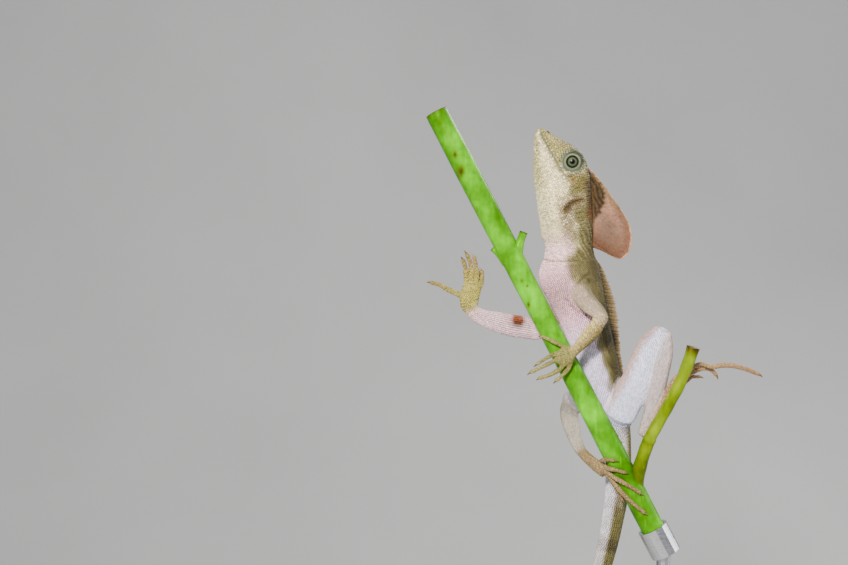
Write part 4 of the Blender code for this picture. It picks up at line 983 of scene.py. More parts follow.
def paint_body(paint, points, along, degrees, wave):
    """The body: pale below an uneven edge, olive above it, with blotches and bars on the back, painted shade
    on the chest and along the fold before the shoulder, and a dark blot.
    """
    body = ease(along, 76, 88) * ease(along, 190, 174)
    edge = 66.0 + 18.0 * ease(along, 112, 82) + 3.0 * wave
    shoulder = ease(along, 108, 90)
    paint.over(COAT["chest"], body * ease(degrees, edge + 4, edge + 26))
    paint.over(COAT["chest shade"], body * ease(degrees, edge + 8, edge + 26) * bell(along - 95, 11) * 0.8)
    paint.over(COAT["belly"], body * ease(along, 104, 132))
    paint.over(COAT["flank edge"], body * ease(degrees, edge + 26, edge + 7))
    paint.over(COAT["flank"], body * ease(degrees, edge + 6, edge - 10) * (1 - 0.75 * shoulder))
    paint.over(COAT["shoulder"], body * ease(degrees, edge + 4, edge - 8) * shoulder * 0.6)
    paint.over(COAT["back"], body * ease(degrees, 42, 12) * (0.8 - 0.2 * shoulder))
    blotch = ease(np.sin(along * 0.9 + 2.0 * wave) * np.sin(degrees * 0.16 + along * 0.3), 0.25, 0.8)
    paint.over(COAT["back blotch"], body * blotch * ease(degrees, 84, 60) * (0.55 - 0.3 * shoulder))
    paint.over(COAT["withers"], bell(along - 84, 9) * ease(degrees, 58, 36) * 0.7)
    paint.over(COAT["low shoulder patch"], bell(along - 81, 5) * bell(degrees - 94, 12) * 0.6)
    paint.over(COAT["high shoulder patch"], bell(along - 85, 4) * bell(degrees - 71, 10) * 0.6)
    # Painted shade along the fold before the shoulder, and a dark blot
    blot = np.hypot(points[:, 0] - NECK_BLOT[0], points[:, 2] - NECK_BLOT[1])
    smudge = np.maximum(bell(line_gap(points, NECK_CREASE), 0.8) * 0.75, bell(blot, 1.7) * 0.85)
    paint.over(COAT["shoulder fold shade and blot"], smudge * (along > 76) * (along < 112))
    bars = ease(np.sin(along * 0.36 + 0.5 * wave), 0.1, 0.9)
    paint.over(COAT["back bar"], body * bars * ease(degrees, 62, 30) * 0.40)


def paint_tail(paint, along, degrees):
    """The tail: olive on top, pale below near its root, with dark rings that grow towards its end."""
    tail = ease(along, 172, 186)
    near_root = ease(degrees, 30, 62)
    low = near_root + (ease(degrees, 84, 122) - near_root) * ease(along, 196, 230)
    paint.over(COAT["under tail"], tail * low)
    paint.over(COAT["tail top"], tail * (1 - low))
    paint.over(COAT["under tail's end"], tail * low * ease(along, 210, 330))
    rings = ease(np.sin(along * 0.262 + 0.4), 0.25, 0.85)
    paint.over(COAT["tail ring"], tail * rings * (1 - 0.6 * low) * ease(along, 200, 260) * 0.85)
    paint.over(COAT["tail end"], ease(along, 430, 570) * 0.6)


class Markings:
    """The animal's colours, the same for skin and scales: by distance, angle from the back, limb and side."""

    def __init__(self, spine, tubes):
        self.spine = spine
        self.tubes = tubes
        self.eyes = [eye_place(spine, side)[0] for side in (1, -1)]

    def trunk(self, points, along, degrees):
        """Colour of the head, neck, body and tail: each part's colours laid over the last in turn."""
        wave = np.sin(along * 0.55 + 1.3 * np.sin(degrees * 0.11)) + np.sin(along * 0.23 + degrees * 0.19)
        paint = Paint(COAT["head"], (len(points),))
        snout, temple = paint_face(paint, points, along, degrees, wave)
        for eye in self.eyes:
            near = np.linalg.norm(points - eye, axis=1)
            paint.over(COAT["round the eye"], ease(near, 9.0, 6.8) * 0.85)
            # Painted shade in the groove round the upper rear of the lids
            rear = ease(unit(points - eye) @ unit(LID_DARK_SIDE), 0.2, 0.7)
            paint.over(COAT["shade in the groove behind the eye"], bell(near - 6.25, 0.45) * rear * 0.9)
        dot = np.linalg.norm((points - NOSTRIL_DOT) * (1, 0.3, 1), axis=1)
        paint.over(COAT["below the nostril"], bell(dot, 0.85) * (along < 14) * (degrees > 60))
        ear = paint_ear(paint, points, along, degrees)
        calm = ease(ear, 0.2, 1.6) * (1 - 0.85 * temple) * (1 - 0.5 * snout)
        paint_flecks(paint, points, along, degrees, calm)
        paint_neck(paint, along, degrees, wave)
        paint_body(paint, points, along, degrees, wave)
        paint_tail(paint, along, degrees)
        return paint.colour

    def limb(self, name, points, normals, share):
        """Colour of a limb, hand or digit: near side, far side, towards its end, and sides of its own, with
        painted shade and highlight on the left forearm.
        """
        near, far, end = LIMB_COLOURS[name.split("_digit")[0]]
        paint = Paint(far, (len(points),))
        paint.over(near, ease(normals @ unit(TO_THE_VIEWER), -0.55, 0.35))
        if "digit" in name:
            paint.over(end, ease(0.35 + 0.65 * share, 0.45, 1.0))
        # Sides of their own colour, and on the left forearm painted shade below and a painted highlight above
        for way, start, stop, colour, weight in LIMB_SIDES.get(name, ()):
            paint.over(colour, ease(normals @ unit(np.array(way)), start, stop) * weight)
        if name == "right_forearm":
            offset = (points - RUST_SPOT) * (1, 0.4, 1)
            spot = bell(np.linalg.norm(offset, axis=1), 3.9)[:, None]
            rust = Paint(COAT["dark rust"], (len(points),))
            rust.over(COAT["rust spot"], ease(offset[:, 2], -2.6, 1.2))
            paint.colour += (rust.colour - paint.colour) * np.clip(spot * 1.5, 0, 1)
        return paint.colour

    def at(self, points, normals):
        """Colour where several parts meet: each part counts by how near its own surface is."""
        along, turn, reach = self.spine.find(points, 1e9)
        size = np.linalg.norm(trunk_radius(self.spine, along, turn), axis=-1)
        gaps = [reach - size]
        colours = [self.trunk(points, along, np.degrees(np.abs(turn)))]
        for name, tube in self.tubes.items():
            count = len(tube.path)
            gap = np.full(len(points), 1e9)
            share = np.zeros(len(points))
            near = np.linalg.norm(points - tube.path[count // 2], axis=1) < tube.length * 0.5 + 14.0
            some = points[near]
            distance = np.linalg.norm(some[:, None] - tube.path[None], axis=2)
            which = distance.argmin(1)
            radius = tube.fine[which, 3:5].mean(1)
            gap[near] = distance[np.arange(len(some)), which] - radius
            share[near] = which / (count - 1)
            if name.endswith("upper_arm"):
                gap = gap + SHOULDER_YIELDS * ease(share, 0.45, 0.05)
            gaps.append(gap)
            made = np.zeros((len(points), 3))
            if near.any():
                made[near] = self.limb(name, some, normals[near], share[near])
            colours.append(made)
        gaps = np.array(gaps)
        weight = np.exp(-np.clip((gaps - gaps.min(0)) / 0.9, 0.0, 40.0))
        weight /= weight.sum(0)
        mixed = np.einsum("kn,knc->nc", weight, np.array(colours))
        # Painted shade along the fold between the left upper arm and the chest
        crease = bell(line_gap(points, ARM_CREASE), 0.38) * ease(points[:, 1], 4.0, 0.0) * 0.8
        return mixed + (linear(*COAT["arm crease shade"]) - mixed) * crease[:, None]


# Dark dot below the nostril, and the middle of the rust spot on the right forearm
NOSTRIL_DOT = np.array((-34.0, 4.0, 566.2))
RUST_SPOT = np.array((-44.4, 15.2, 466.2))
# The way that a limb's near side faces
TO_THE_VIEWER = np.array((0.15, -0.95, 0.1))

# Fold before the shoulder, with painted shade along it, and a dark blot: x, z
NECK_CREASE = np.array(((-12.6, 486.6), (-9.4, 490.6), (-6.0, 492.8)))
NECK_BLOT = (-6.2, 488.5)

# Fold between the left upper arm and the chest, where painted shade darkens the coat: x, z
ARM_CREASE = np.array(((-18.6, 478.2), (-16.2, 475.2), (-13.2, 472.7), (-9.7, 470.1), (-6.2, 468.5)))

# Colour of the near side, of the far side and of the digits' ends
LIMB_COLOURS = {
    "left_upper_arm": ((200, 190, 180), (146, 136, 94), (200, 190, 180)),
    "left_forearm": ((192, 182, 138), (132, 120, 76), (190, 180, 134)),
    "right_upper_arm": ((212, 199, 201), (146, 136, 94), (212, 199, 201)),
    "right_forearm": ((213, 200, 203), (150, 138, 96), (213, 200, 203)),
    "left_thigh": ((226, 226, 232), (126, 113, 74), (219, 215, 220)),
    "left_shank": ((206, 200, 200), (130, 116, 80), (206, 200, 200)),
    "right_thigh": ((206, 203, 206), (126, 113, 74), (206, 203, 206)),
    "right_shank": ((200, 196, 190), (130, 116, 80), (200, 196, 190)),
    "left_hand": ((172, 166, 110), (142, 132, 86), (184, 178, 126)),
    "right_hand": ((192, 186, 122), (150, 140, 86), (184, 168, 116)),
    "left_foot": ((194, 174, 140), (140, 118, 84), (188, 164, 132)),
    "right_foot": ((184, 168, 134), (134, 116, 82), (176, 154, 120)),
}
# Sides of a limb with own colour, painted shade or painted highlight: the way they face, blend start and
# stop, colour, weight
LIMB_SIDES = {
    "left_thigh": (((-0.75, 0.0, 0.65), 0.15, 0.9, (204, 182, 170), 0.8),),
    "left_shank": (((1.0, 0.0, 0.1), 0.35, 0.95, (186, 164, 160), 0.8),),
    "left_upper_arm": (((0.75, -0.1, 0.65), 0.25, 0.95, (128, 118, 78), 0.9),),
    "left_forearm": (
        # Painted shade on the underside of the left forearm
        ((0.62, -0.1, -0.78), 0.15, 0.95, (126, 106, 58), 0.75),
        # Painted highlight on the upper side of the left forearm
        ((-0.62, -0.35, 0.70), 0.45, 0.97, (214, 206, 172), 0.6),
    ),
}


def trunk_radius(spine, along, turn):
    """Height and width of the body's surface at each distance and angle, as pairs."""
    row = hermite(np.minimum(along, TRUNK[-1, 0]), TRUNK[:, 0], TRUNK[:, 1:])
    end = np.clip((spine.length - along) / TAIL_TIP, TAIL_TIP_SHARE, 1.0)
    cosine, sine = np.cos(turn), np.sin(turn)
    up = cosine > 0
    roundness = np.where(up, row[:, 3], row[:, 4])
    high = np.where(up, row[:, 0], row[:, 1]) * power(cosine, roundness) * end
    return np.stack([high, row[:, 2] * power(sine, roundness) * end], axis=-1)


class Ground:
    """The skin as something to set scales on: nearest point and smooth direction out."""

    def __init__(self, skin):
        mesh = skin.data
        self.points = points_of(mesh)
        self.normals = normals_of(mesh)
        polygons = [tuple(polygon.vertices) for polygon in mesh.polygons]
        self.tree = BVHTree.FromPolygons(self.points.tolist(), polygons)
        self.corners = polygons

    def seat(self, points):
        """Nearest places on the skin, directions out, and how far the points were from it."""
        places, outs, gaps = np.empty_like(points), np.empty_like(points), np.empty(len(points))
        for number, point in enumerate(points.tolist()):
            place, _, face, gap = self.tree.find_nearest(point)
            places[number] = place
            outs[number] = self.normals[list(self.corners[face])].mean(0)
            gaps[number] = gap
        return places, unit(outs), gaps


# Rings of the lids: distance from the eye's middle, spread, colour, weight, how much each keeps to the rear
LID_RINGS = (
    (3.40, 0.32, (50, 54, 42), 0.88, 0.35), (4.16, 0.32, (180, 186, 164), 0.75, 0.2),
    # The last ring is painted shade in the groove round the lids, strongest at the upper rear
    (4.80, 0.24, (92, 98, 74), 0.85, 0.45), (5.40, 0.42, (52, 48, 24), 0.97, 0.9),
)
# The upper rear, where the lids are darkest and the painted shade of their groove lies
LID_DARK_SIDE = np.array((0.75, 0.0, 0.66))

# One scale seen from above: x along it to its free tip, y across, z out of the skin
SCALE_POINTS = np.array((
    (-0.52, 0.0, -0.20), (-0.22, 0.50, -0.16), (0.24, 0.40, -0.02), (0.56, 0.0, 0.22), (0.24, -0.40, -0.02),
    (-0.22, -0.50, -0.16), (-0.20, 0.0, 0.72), (0.26, 0.0, 0.92), (0.0, 0.0, -0.9),
))
# How high each point of a scale stands, from 0 at its edge to 1 on top; the material paints shade in the gaps
# by it
SCALE_RISE = np.array((0.0, 0.0, 0.15, 0.3, 0.15, 0.0, 1.0, 1.0, 0.0))
SCALE_FACES = np.array((
    (0, 6, 1), (1, 6, 2), (6, 7, 2), (2, 7, 3), (3, 7, 4), (7, 6, 4), (4, 6, 5), (5, 6, 0),
    (0, 1, 8), (1, 2, 8), (2, 3, 8), (3, 4, 8), (4, 5, 8), (5, 0, 8),
))
# A rounded plate that lies beside its neighbours, for the head
PLATE_POINTS = np.array((
    (-0.50, -0.16, -0.12), (-0.50, 0.16, -0.12), (-0.10, 0.50, -0.12), (0.36, 0.36, -0.12),
    (0.52, 0.0, -0.12), (0.36, -0.36, -0.12), (-0.10, -0.50, -0.12),
    (-0.28, 0.0, 0.55), (0.04, 0.24, 0.62), (0.24, 0.0, 0.66), (0.04, -0.24, 0.62), (0.0, 0.0, -0.9),
))
# The same for a plate: its edge is where the material paints shade
PLATE_RISE = np.array((0.0, 0.0, 0.0, 0.0, 0.0, 0.0, 0.0, 1.0, 1.0, 1.0, 1.0, 0.0))
PLATE_FACES = np.array((
    (0, 7, 1), (1, 7, 2), (2, 7, 8), (2, 8, 3), (3, 8, 9), (3, 9, 4), (4, 9, 5), (5, 9, 10), (5, 10, 6),
    (6, 10, 7), (6, 7, 0), (7, 10, 9), (7, 9, 8),
    (0, 1, 11), (1, 2, 11), (2, 3, 11), (3, 4, 11), (4, 5, 11), (5, 6, 11), (6, 0, 11),
))
# Width of a scale's own place on the coat's map, and the half length of a scale that it holds
PATCH = 0.003
PATCH_HOLDS = 0.56
# Stray along the row, turn in radians, spread of size, spread of shade
KEELED_UNEVEN = (0.05, 0.09, 0.14, 0.18)
PLATE_UNEVEN = (0.13, 0.45, 0.22, 0.22)
# How far plates lean at random
PLATE_TILT = 0.10


def outward_faces(points, faces):
    """The faces of a small closed form, each turned to face away from its middle."""
    a, b, c = (points[faces[:, k]] for k in range(3))
    away = ((a + b + c) / 3 - points.mean(0)) * np.cross(b - a, c - a)
    turned = away.sum(1) < 0
    return np.where(turned[:, None], faces[:, ::-1], faces)


class Scales:
    """Rows of scales gathered for one piece of the coat."""

    def __init__(self, shape):
        keeled = shape == "keeled"
        self.form = SCALE_POINTS if keeled else PLATE_POINTS
        self.rise = SCALE_RISE if keeled else PLATE_RISE
        self.stray, self.turn, self.vary, self.shade = KEELED_UNEVEN if keeled else PLATE_UNEVEN
        self.tilt = 0.0 if keeled else PLATE_TILT
        self.faces = outward_faces(self.form, SCALE_FACES if keeled else PLATE_FACES)
        self.rows = []

    def add(self, place, out, along, long, wide, high, patch, depth=1.0):
        """Keeps rows: roots, ways out and along, sizes, places on the map, and how strong the painted shade
        in the gaps is.
        """
        count = len(place)
        sizes = [np.broadcast_to(np.asarray(v, float), (count,)) for v in (long, wide, high, depth)]
        self.rows.append((place, out, along, *sizes, patch))

    def object(self, name, markings, chance):
        """The scales as one mesh: each is the form times its sizes, turned to its own directions.

        markings are the coat's, or a colour for each scale.
        """
        gathered = (np.concatenate(items) for items in zip(*self.rows))
        place, out, along, long, wide, high, depth, patch = gathered
        out = unit(out + chance.normal(0.0, 1.0, out.shape) * self.tilt)
        along = unit(along - (along * out).sum(1)[:, None] * out)
        side = np.cross(out, along)
        swing = chance.normal(0.0, self.turn, len(place))[:, None]
        place = place + along * (chance.normal(0.0, self.stray, len(place)) * long)[:, None]
        ahead = along * np.cos(swing) + side * np.sin(swing)
        side = side * np.cos(swing) - along * np.sin(swing)
        grow = chance.uniform(1.0 - self.vary, 1.0 + self.vary, len(place))
        high = high * chance.uniform(1.0 - self.vary, 1.0 + self.vary, len(place))
        form = self.form[None]
        points = (
            place[:, None]
            + form[..., 0:1] * (long * grow)[:, None, None] * ahead[:, None]
            + form[..., 1:2] * (wide * grow)[:, None, None] * side[:, None]
            + form[..., 2:3] * high[:, None, None] * out[:, None]
        )
        tint = markings if isinstance(markings, np.ndarray) else markings.at(place, out)
        tint = tint * chance.uniform(1.0 - self.shade, 1.0 + self.shade, len(place))[:, None]
        size = len(self.form)
        faces = (self.faces[None] + (np.arange(len(place)) * size)[:, None, None]).reshape(-1, 3)
        parts = Parts()
        parts.add(
            points.reshape(-1, 3), None, faces,
            tint=np.repeat(tint, size, axis=0), rise=(1.0 - (1.0 - self.rise[None]) * depth[:, None]).ravel(),
        )
        made = parts.object(name)
        spot = patch[:, None] + PATCH * 0.5 * form[..., :2] / PATCH_HOLDS
        loops = np.empty(len(made.data.loops), np.int32)
        made.data.loops.foreach_get("vertex_index", loops)
        layer = made.data.uv_layers.new(name="OFBake")
        layer.data.foreach_set("uv", spot.reshape(-1, 2)[loops].ravel())
        return made


# Where each form's unwrap lies on the coat's map: left, right, bottom, top
UNWRAP = {
    "head": (0.02, 0.48, 0.03, 0.34), "torso": (0.52, 0.98, 0.03, 0.34), "tail": (0.02, 0.98, 0.37, 0.58),
}
# Lengths of the body that share a place on the map
UNWRAP_LENGTHS = {"head": (0.0, NECK_END), "torso": (NECK_END, VENT + 2.0)}


def unwrap_places(tubes):
    """A place on the map for each limb and palm, and a narrow one for each digit."""
    limbs = [name for name in tubes if "digit" not in name]
    digits = [name for name in tubes if "digit" in name]
    for number, name in enumerate(limbs):
        left = 0.02 + number * 0.96 / len(limbs)
        UNWRAP[name] = (left, left + 0.96 / len(limbs) - 0.008, 0.61, 0.79)
    for number, name in enumerate(digits):
        left = 0.02 + number * 0.96 / len(digits)
        UNWRAP[name] = (left, left + 0.96 / len(digits) - 0.006, 0.82, 0.97)


def on_map(name, around, along):
    """A place on the map from the share round a form and the share along it."""
    left, right, bottom, top = UNWRAP[name]
    if name == "tail":
        around, along = along, around
    return np.stack([left + (right - left) * around, bottom + (top - bottom) * along], axis=-1)


# How far apart scales are set, as a share of their width, and rings, as a share of their length
ROW_OVERLAP = 0.92
ROW_STEP = 0.74
# How much longer a scale is made than its place in the rows
SCALE_OVERLAP = 1.12
# How far a root may be from the skin on the trunk and on a limb
TRUNK_SEAT = 1.4
LIMB_SEAT = 0.9


def rows_of_scales(ring_at, start, end, long, wide, rows=None):
    """Rings of evenly spaced roots, each ring half a scale round from the last one.

    ring_at gives the fine ring of points at a distance; long and wide are the scale's size by distance. With
    rows given, every ring has that many scales, and they line up along the limb.
    """
    shift = 0.5 if rows is None else 0.0
    where, count, odd = start, 0, 0
    places, angles, runs, sizes = [], [], [], []
    fine = np.linspace(0.0, 2 * math.pi, 145)
    while where < end:
        ring = ring_at(where, fine)
        run = knots_of(ring)
        wanted = run[-1] / (wide(where) * ROW_OVERLAP) if rows is None else rows
        if abs(wanted - count) > max(1.6, 0.05 * wanted):
            count = max(int(round(wanted)), 4)
        spots = (np.arange(count) + shift * (odd % 2)) * run[-1] / count
        angle = np.interp(spots, run, fine)
        places.append(between(spots, run, ring))
        angles.append(angle)
        runs.append(np.full(count, where))
        sizes.append(np.full(count, run[-1] / count / ROW_OVERLAP))
        odd += 1
        where += long(where) * ROW_STEP
    return np.vstack(places), np.concatenate(angles), np.concatenate(runs), np.concatenate(sizes)


def from_back(angle):
    """Degrees from the back for an angle once round the body."""
    return np.degrees(np.abs(np.where(angle > math.pi, angle - 2 * math.pi, angle)))


def lay_trunk(spine, ground, scales, start, end, long, wide, high, key, keep):
    """Rows of scales round a length of the body."""
    place, angle, run, width = rows_of_scales(
        lambda where, angles: trunk_surface(spine, [where], angles)[0], start, end, long, wide)
    seat, out, gap = ground.seat(place)
    good = gap < TRUNK_SEAT
    if keep is not None:
        good &= keep(seat, run, from_back(angle))
    place, angle, run, width, seat, out = (v[good] for v in (place, angle, run, width, seat, out))
    _, tangent, _, _ = spine.at(run)
    degrees = from_back(angle)
    low, top = UNWRAP_LENGTHS.get(key, (VENT + 2.0, spine.length))
    patch = on_map(key, angle / (2 * math.pi), (run - low) / (top - low))
    # Painted shade in the gaps between scales, weaker under the belly
    depth = 1.0 - 0.55 * ease(degrees, 92.0, 124.0)
    lengths = np.array([long(where) for where in run]) * SCALE_OVERLAP
    scales.add(seat, out, tangent, lengths, width, high(run, degrees), patch, depth)


def lay_tube(name, tube, ground, scales, size, ends, lined=False, depth=1.0):
    """Rows of scales round a limb or digit; those that lie inside another form are left out.

    size is a scale's length, width and height, and ends is how far past each end of the form the rows go.
    """
    long, wide, high = size
    rows = round(math.tau * tube.fine[:, 3:5].mean() / wide) if lined else None
    place, angle, run, width = rows_of_scales(
        lambda where, angles: tube.surface([where], angles)[0], -ends[0], tube.length + ends[1],
        lambda where: long, lambda where: wide, rows)
    seat, out, gap = ground.seat(place)
    centre = between(run, tube.run, tube.path)
    good = (gap < LIMB_SEAT) & (((place - centre) * out).sum(1) > 0)
    angle, run, width, seat, out = (v[good] for v in (angle, run, width, seat, out))
    _, tangent, _, _ = tube.frame_at(run)
    patch = on_map(name, angle / (2 * math.pi), np.clip(run / tube.length, 0, 1))
    scales.add(seat, out, tangent, long * SCALE_OVERLAP, width, high, patch, depth)


def feed(tree, node, inputs):
    """Sets a node's inputs, each to a plain value or from another node's output."""
    for key, value in inputs.items():
        if hasattr(value, "is_output"):
            tree.links.new(value, node.inputs[key])
        else:
            node.inputs[key].default_value = value


def add_node(tree, kind, inputs, **settings):
    """A new shader node with its settings and inputs."""
    node = tree.nodes.new("ShaderNode" + kind)
    for key, value in settings.items():
        setattr(node, key, value)
    feed(tree, node, inputs)
    return node


def object_place(tree):
    """The place on the object, in metres."""
    return add_node(tree, "TexCoord", {}).outputs["Object"]


def moved(tree, place, **inputs):
    """A place moved, turned or scaled by a Mapping node."""
    return add_node(tree, "Mapping", {"Vector": place, **inputs}).outputs["Vector"]


def kept(tree, name, output="Fac"):
    """A number or colour that the mesh keeps for each point."""
    return add_node(tree, "Attribute", {}, attribute_name=name).outputs[output]


def noise(tree, place, scale, detail, **inputs):
    """A soft noise from 0 to 1."""
    node = add_node(tree, "TexNoise", {"Vector": place, "Scale": scale, "Detail": detail, **inputs})
    return node.outputs["Fac"]


def cells(tree, place, scale):
    """Distance from the middles of small cells."""
    return add_node(tree, "TexVoronoi", {"Vector": place, "Scale": scale}).outputs["Distance"]


def maths(tree, operation, *values):
    """One sum on numbers."""
    return add_node(tree, "Math", dict(enumerate(values)), operation=operation).outputs[0]


def spread(tree, value, low, high, start, end):
    """A value from low to high, stretched to run from start to end."""
    return add_node(tree, "MapRange", {
        "Value": value, "From Min": low, "From Max": high, "To Min": start, "To Max": end}).outputs["Result"]


def scaled(tree, colour, factor):
    """A colour times a number."""
    return add_node(tree, "VectorMath", {0: colour, "Scale": factor}, operation="SCALE").outputs[0]


def ramp(tree, factor, *stops):
    """A colour that runs through (place, colour) stops."""
    node = add_node(tree, "ValToRGB", {"Fac": factor})
    while len(node.color_ramp.elements) < len(stops):
        node.color_ramp.elements.new(0.5)
    for element, (place, colour) in zip(node.color_ramp.elements, stops):
        element.position = place
        element.color = (*colour, 1.0)
    return node.outputs["Color"]


def mixed(tree, share, first, second):
    """A blend of two colours."""
    inputs = {"Factor": share, "A": first, "B": second}
    return add_node(tree, "Mix", inputs, data_type="RGBA").outputs["Result"]


def bump(tree, height, strength, distance):
    """The direction out of a surface with a fine relief; distance is in metres."""
    node = add_node(tree, "Bump", {"Height": height, "Strength": strength, "Distance": distance})
    return node.outputs["Normal"]


def node_material(name):
    """A new material with its nodes and its shader."""
    material = bpy.data.materials.new(name)
    material.use_nodes = True
    tree = material.node_tree
    return material, tree, tree.nodes["Principled BSDF"]


def skin_finish_group():
    """Mottle, grain and painted shade for skin and scales: a colour with soft blotches, darker in the gaps,
    and a fine height for the bump.
    """
    group = bpy.data.node_groups.new("skin finish", "ShaderNodeTree")
    sockets = (
        ("INPUT", "Colour", "Color"), ("INPUT", "Rise", "Float"), ("INPUT", "Grain size", "Float"),
        ("INPUT", "Mottle", "Float"), ("INPUT", "Crevice shade", "Float"),
        ("OUTPUT", "Colour", "Color"), ("OUTPUT", "Roughness", "Float"), ("OUTPUT", "Height", "Float"),
    )
    for way, name, kind in sockets:
        group.interface.new_socket(name, in_out=way, socket_type="NodeSocket" + kind)
    start = group.nodes.new("NodeGroupInput").outputs
    end = group.nodes.new("NodeGroupOutput")
    place = object_place(group)
    blotch = noise(group, place, 420.0, 4.0, Roughness=0.62)
    broad = noise(group, place, 95.0, 3.0, Roughness=0.55)
    swing = spread(group, maths(group, "ADD", blotch, broad), 0.7, 1.3, -1.0, 1.0)
    bright = maths(group, "ADD", maths(group, "MULTIPLY", swing, start["Mottle"]), 1.0)
    # Painted shade: darker towards the gaps between scales, where the rise is low, and a little lighter on
    # their tops
    low = spread(group, start["Rise"], 0.0, 0.75, start["Crevice shade"], 1.06)
    grain = cells(group, place, start["Grain size"])
    feed(group, end, {
        "Colour": scaled(group, scaled(group, start["Colour"], bright), low),
        "Roughness": spread(group, blotch, 0.3, 0.7, 0.42, 0.60),
        "Height": maths(group, "ADD", grain, noise(group, place, 2600.0, 2.0)),
    })
    return group


# Skins and scales: size of the grain, mottle, how much colour the painted shade in the gaps keeps, strength
# and depth of the relief, gloss
SKIN_FINISHES = {
    "living skin": (1300.0, 0.10, 0.62, 0.35, 0.00020, 0.3),
    "scales": (2400.0, 0.08, 0.46, 0.18, 0.00006, 0.35),
    "lid skin": (3200.0, 0.06, 0.7, 0.3, 0.00008, 0.3),
    "lid scales": (2600.0, 0.06, 0.62, 0.15, 0.00005, 0.5),
    "nostril skin": (3000.0, 0.05, 0.7, 0.2, 0.00005, 0.3),
    "crest skin": (1500.0, 0.16, 0.7, 0.4, 0.00018, 0.35),
    "crest scales": (2400.0, 0.10, 0.72, 0.15, 0.00005, 0.18),
    "back crest skin": (2200.0, 0.12, 0.7, 0.35, 0.00010, 0.35),
}


def skin_material(name, group):
    """Skin or scale: the colour kept on the points, mottled and grained by the shared group."""
    grain, mottle, gap_shade, relief, depth, gloss = SKIN_FINISHES[name]
    material, tree, shader = node_material(name)
    finish = add_node(tree, "Group", {}, node_tree=group)
    feed(tree, finish, {
        "Colour": kept(tree, "tint", "Color"), "Rise": kept(tree, "rise"), "Grain size": grain,
        "Mottle": mottle, "Crevice shade": gap_shade,
    })
    feed(tree, shader, {
        "Base Color": finish.outputs["Colour"], "Roughness": finish.outputs["Roughness"],
        "Normal": bump(tree, finish.outputs["Height"], relief, depth), "Specular IOR Level": gloss,
    })
    return material


# How dark the skin is beside its scales as painted shade, as a share of their colour, and how far out of the
# gaps it counts
SKIN_GAP_SHADE = 0.70
SKIN_RISE = 0.35
# Colour of the crest's skin as a share of its scales' colour, darker as painted shade between them
CREST_GAP_SHADE = 0.78


def make_skin(spine, tubes, markings, group):
    """The one skin, in the coat's colours a little darker as painted shade in the gaps, so that the scales
    stand out on it.
    """
    skin = grow_skin(spine, tubes)
    refine_head(skin, spine)
    points, normals = points_of(skin.data), normals_of(skin.data)
    store(skin.data, "tint", markings.at(points, normals) * SKIN_GAP_SHADE)
    store(skin.data, "rise", np.full(len(points), SKIN_RISE))
    skin.data.materials.clear()
    skin.data.materials.append(skin_material("living skin", group))
    return skin


def head_keep(spine):
    """Scales are left off the eyes, ears, nostrils and the line of the mouth, which have their own."""
    eyes = [eye_place(spine, side) for side in (1, -1)]
    distance, degrees = NOSTRIL_AT
    noses = [trunk_surface(spine, [distance], [math.radians(degrees) * side])[0, 0] for side in (1, -1)]

    def keep(points, run, degrees):
        good = ear_gap(points, run, degrees) > -1.1
        for eye, out in eyes:
            height, reach = about_eye(points, eye, out)
            good &= ~((reach < LID_REACH - 0.5) & (height > 0))
        for nose in noses:
            good &= np.linalg.norm(points - nose, axis=1) > 1.3
        lips = (run < 33.0) & (degrees > 50.0)
        return good & ~(lips & (line_gap(points, MOUTH_LINE) < 1.9))
    return keep


# Labial scales in each row, and how far a row is from the line of the mouth
LABIALS = 17
LABIAL_OFFSET = 1.05


def lay_lips(ground, scales):
    """The labial scales: a row of long plates above and below the line of the mouth on each side."""
    knots = knots_of(MOUTH_LINE)
    count = LABIALS
    spots = np.linspace(0.8, knots[-1] + 1.5, count)
    inside = np.minimum(spots, knots[-1])
    line = between(inside, knots, MOUTH_LINE)
    way = unit(np.gradient(line, axis=0))
    line = line + way * (spots - inside)[:, None]
    across = np.stack([-way[:, 1], way[:, 0]], axis=1)
    for side in (1, -1):
        for offset in (LABIAL_OFFSET, -LABIAL_OFFSET):
            start = np.insert(line + across * offset, 1, MIDLINE - 26.0 * side, axis=1)
            place, out = [], []
            for point in start.tolist():
                hit, _, face, _ = ground.tree.ray_cast(point, (0.0, float(side), 0.0))
                if hit is not None:
                    place.append(tuple(hit))
                    out.append(ground.normals[list(ground.corners[face])].mean(0))
            place, out = np.array(place), unit(np.array(out))
            heading = np.insert(way[:len(place)], 1, 0.0, axis=1)
            stretch = np.interp(np.arange(len(place)), (0, count - 1), (1.0, 1.2))
            share = np.arange(len(place)) / count
            around = np.full(len(place), 0.25 if side > 0 else 0.75) + 0.02 * np.sign(offset)
            patch = on_map("head", around, share * 0.4)
            scales.add(place, out, heading, 1.95 * stretch, 1.45 * stretch, 0.40, patch)


# Length of a scale by distance from the snout: distances, lengths
HEAD_SCALE = ((0.0, 8.0, 30.0, 50.0, 62.0, 80.0), (1.0, 1.45, 1.55, 1.5, 1.25, 1.2))
TORSO_SCALE = ((80.0, 100.0, 180.0), (1.2, 1.45, 1.55))
TAIL_SCALE = ((180.0, 300.0, 570.0), (1.6, 1.75, 1.3))
# Scales of limbs: length, width and height, and how far past the form's ends they go; for the long limbs also
# whether they stand in lines, and how strong the painted shade in the gaps between them is
DIGIT_ROWS = ((1.20, 1.10, 0.28), (-1.0, 0.0))
PALM_ROWS = ((1.35, 1.20, 0.38), (1.0, 1.4))
LEFT_FOREARM_ROWS = ((1.55, 1.40, 0.44), (2.0, 3.0))
RIGHT_FOREARM_ROWS = ((1.4, 1.2, 0.07), (2.0, 3.0), True, 0.05)
LIMB_ROWS = ((1.4, 1.2, 0.18), (2.0, 3.0), False, 0.30)


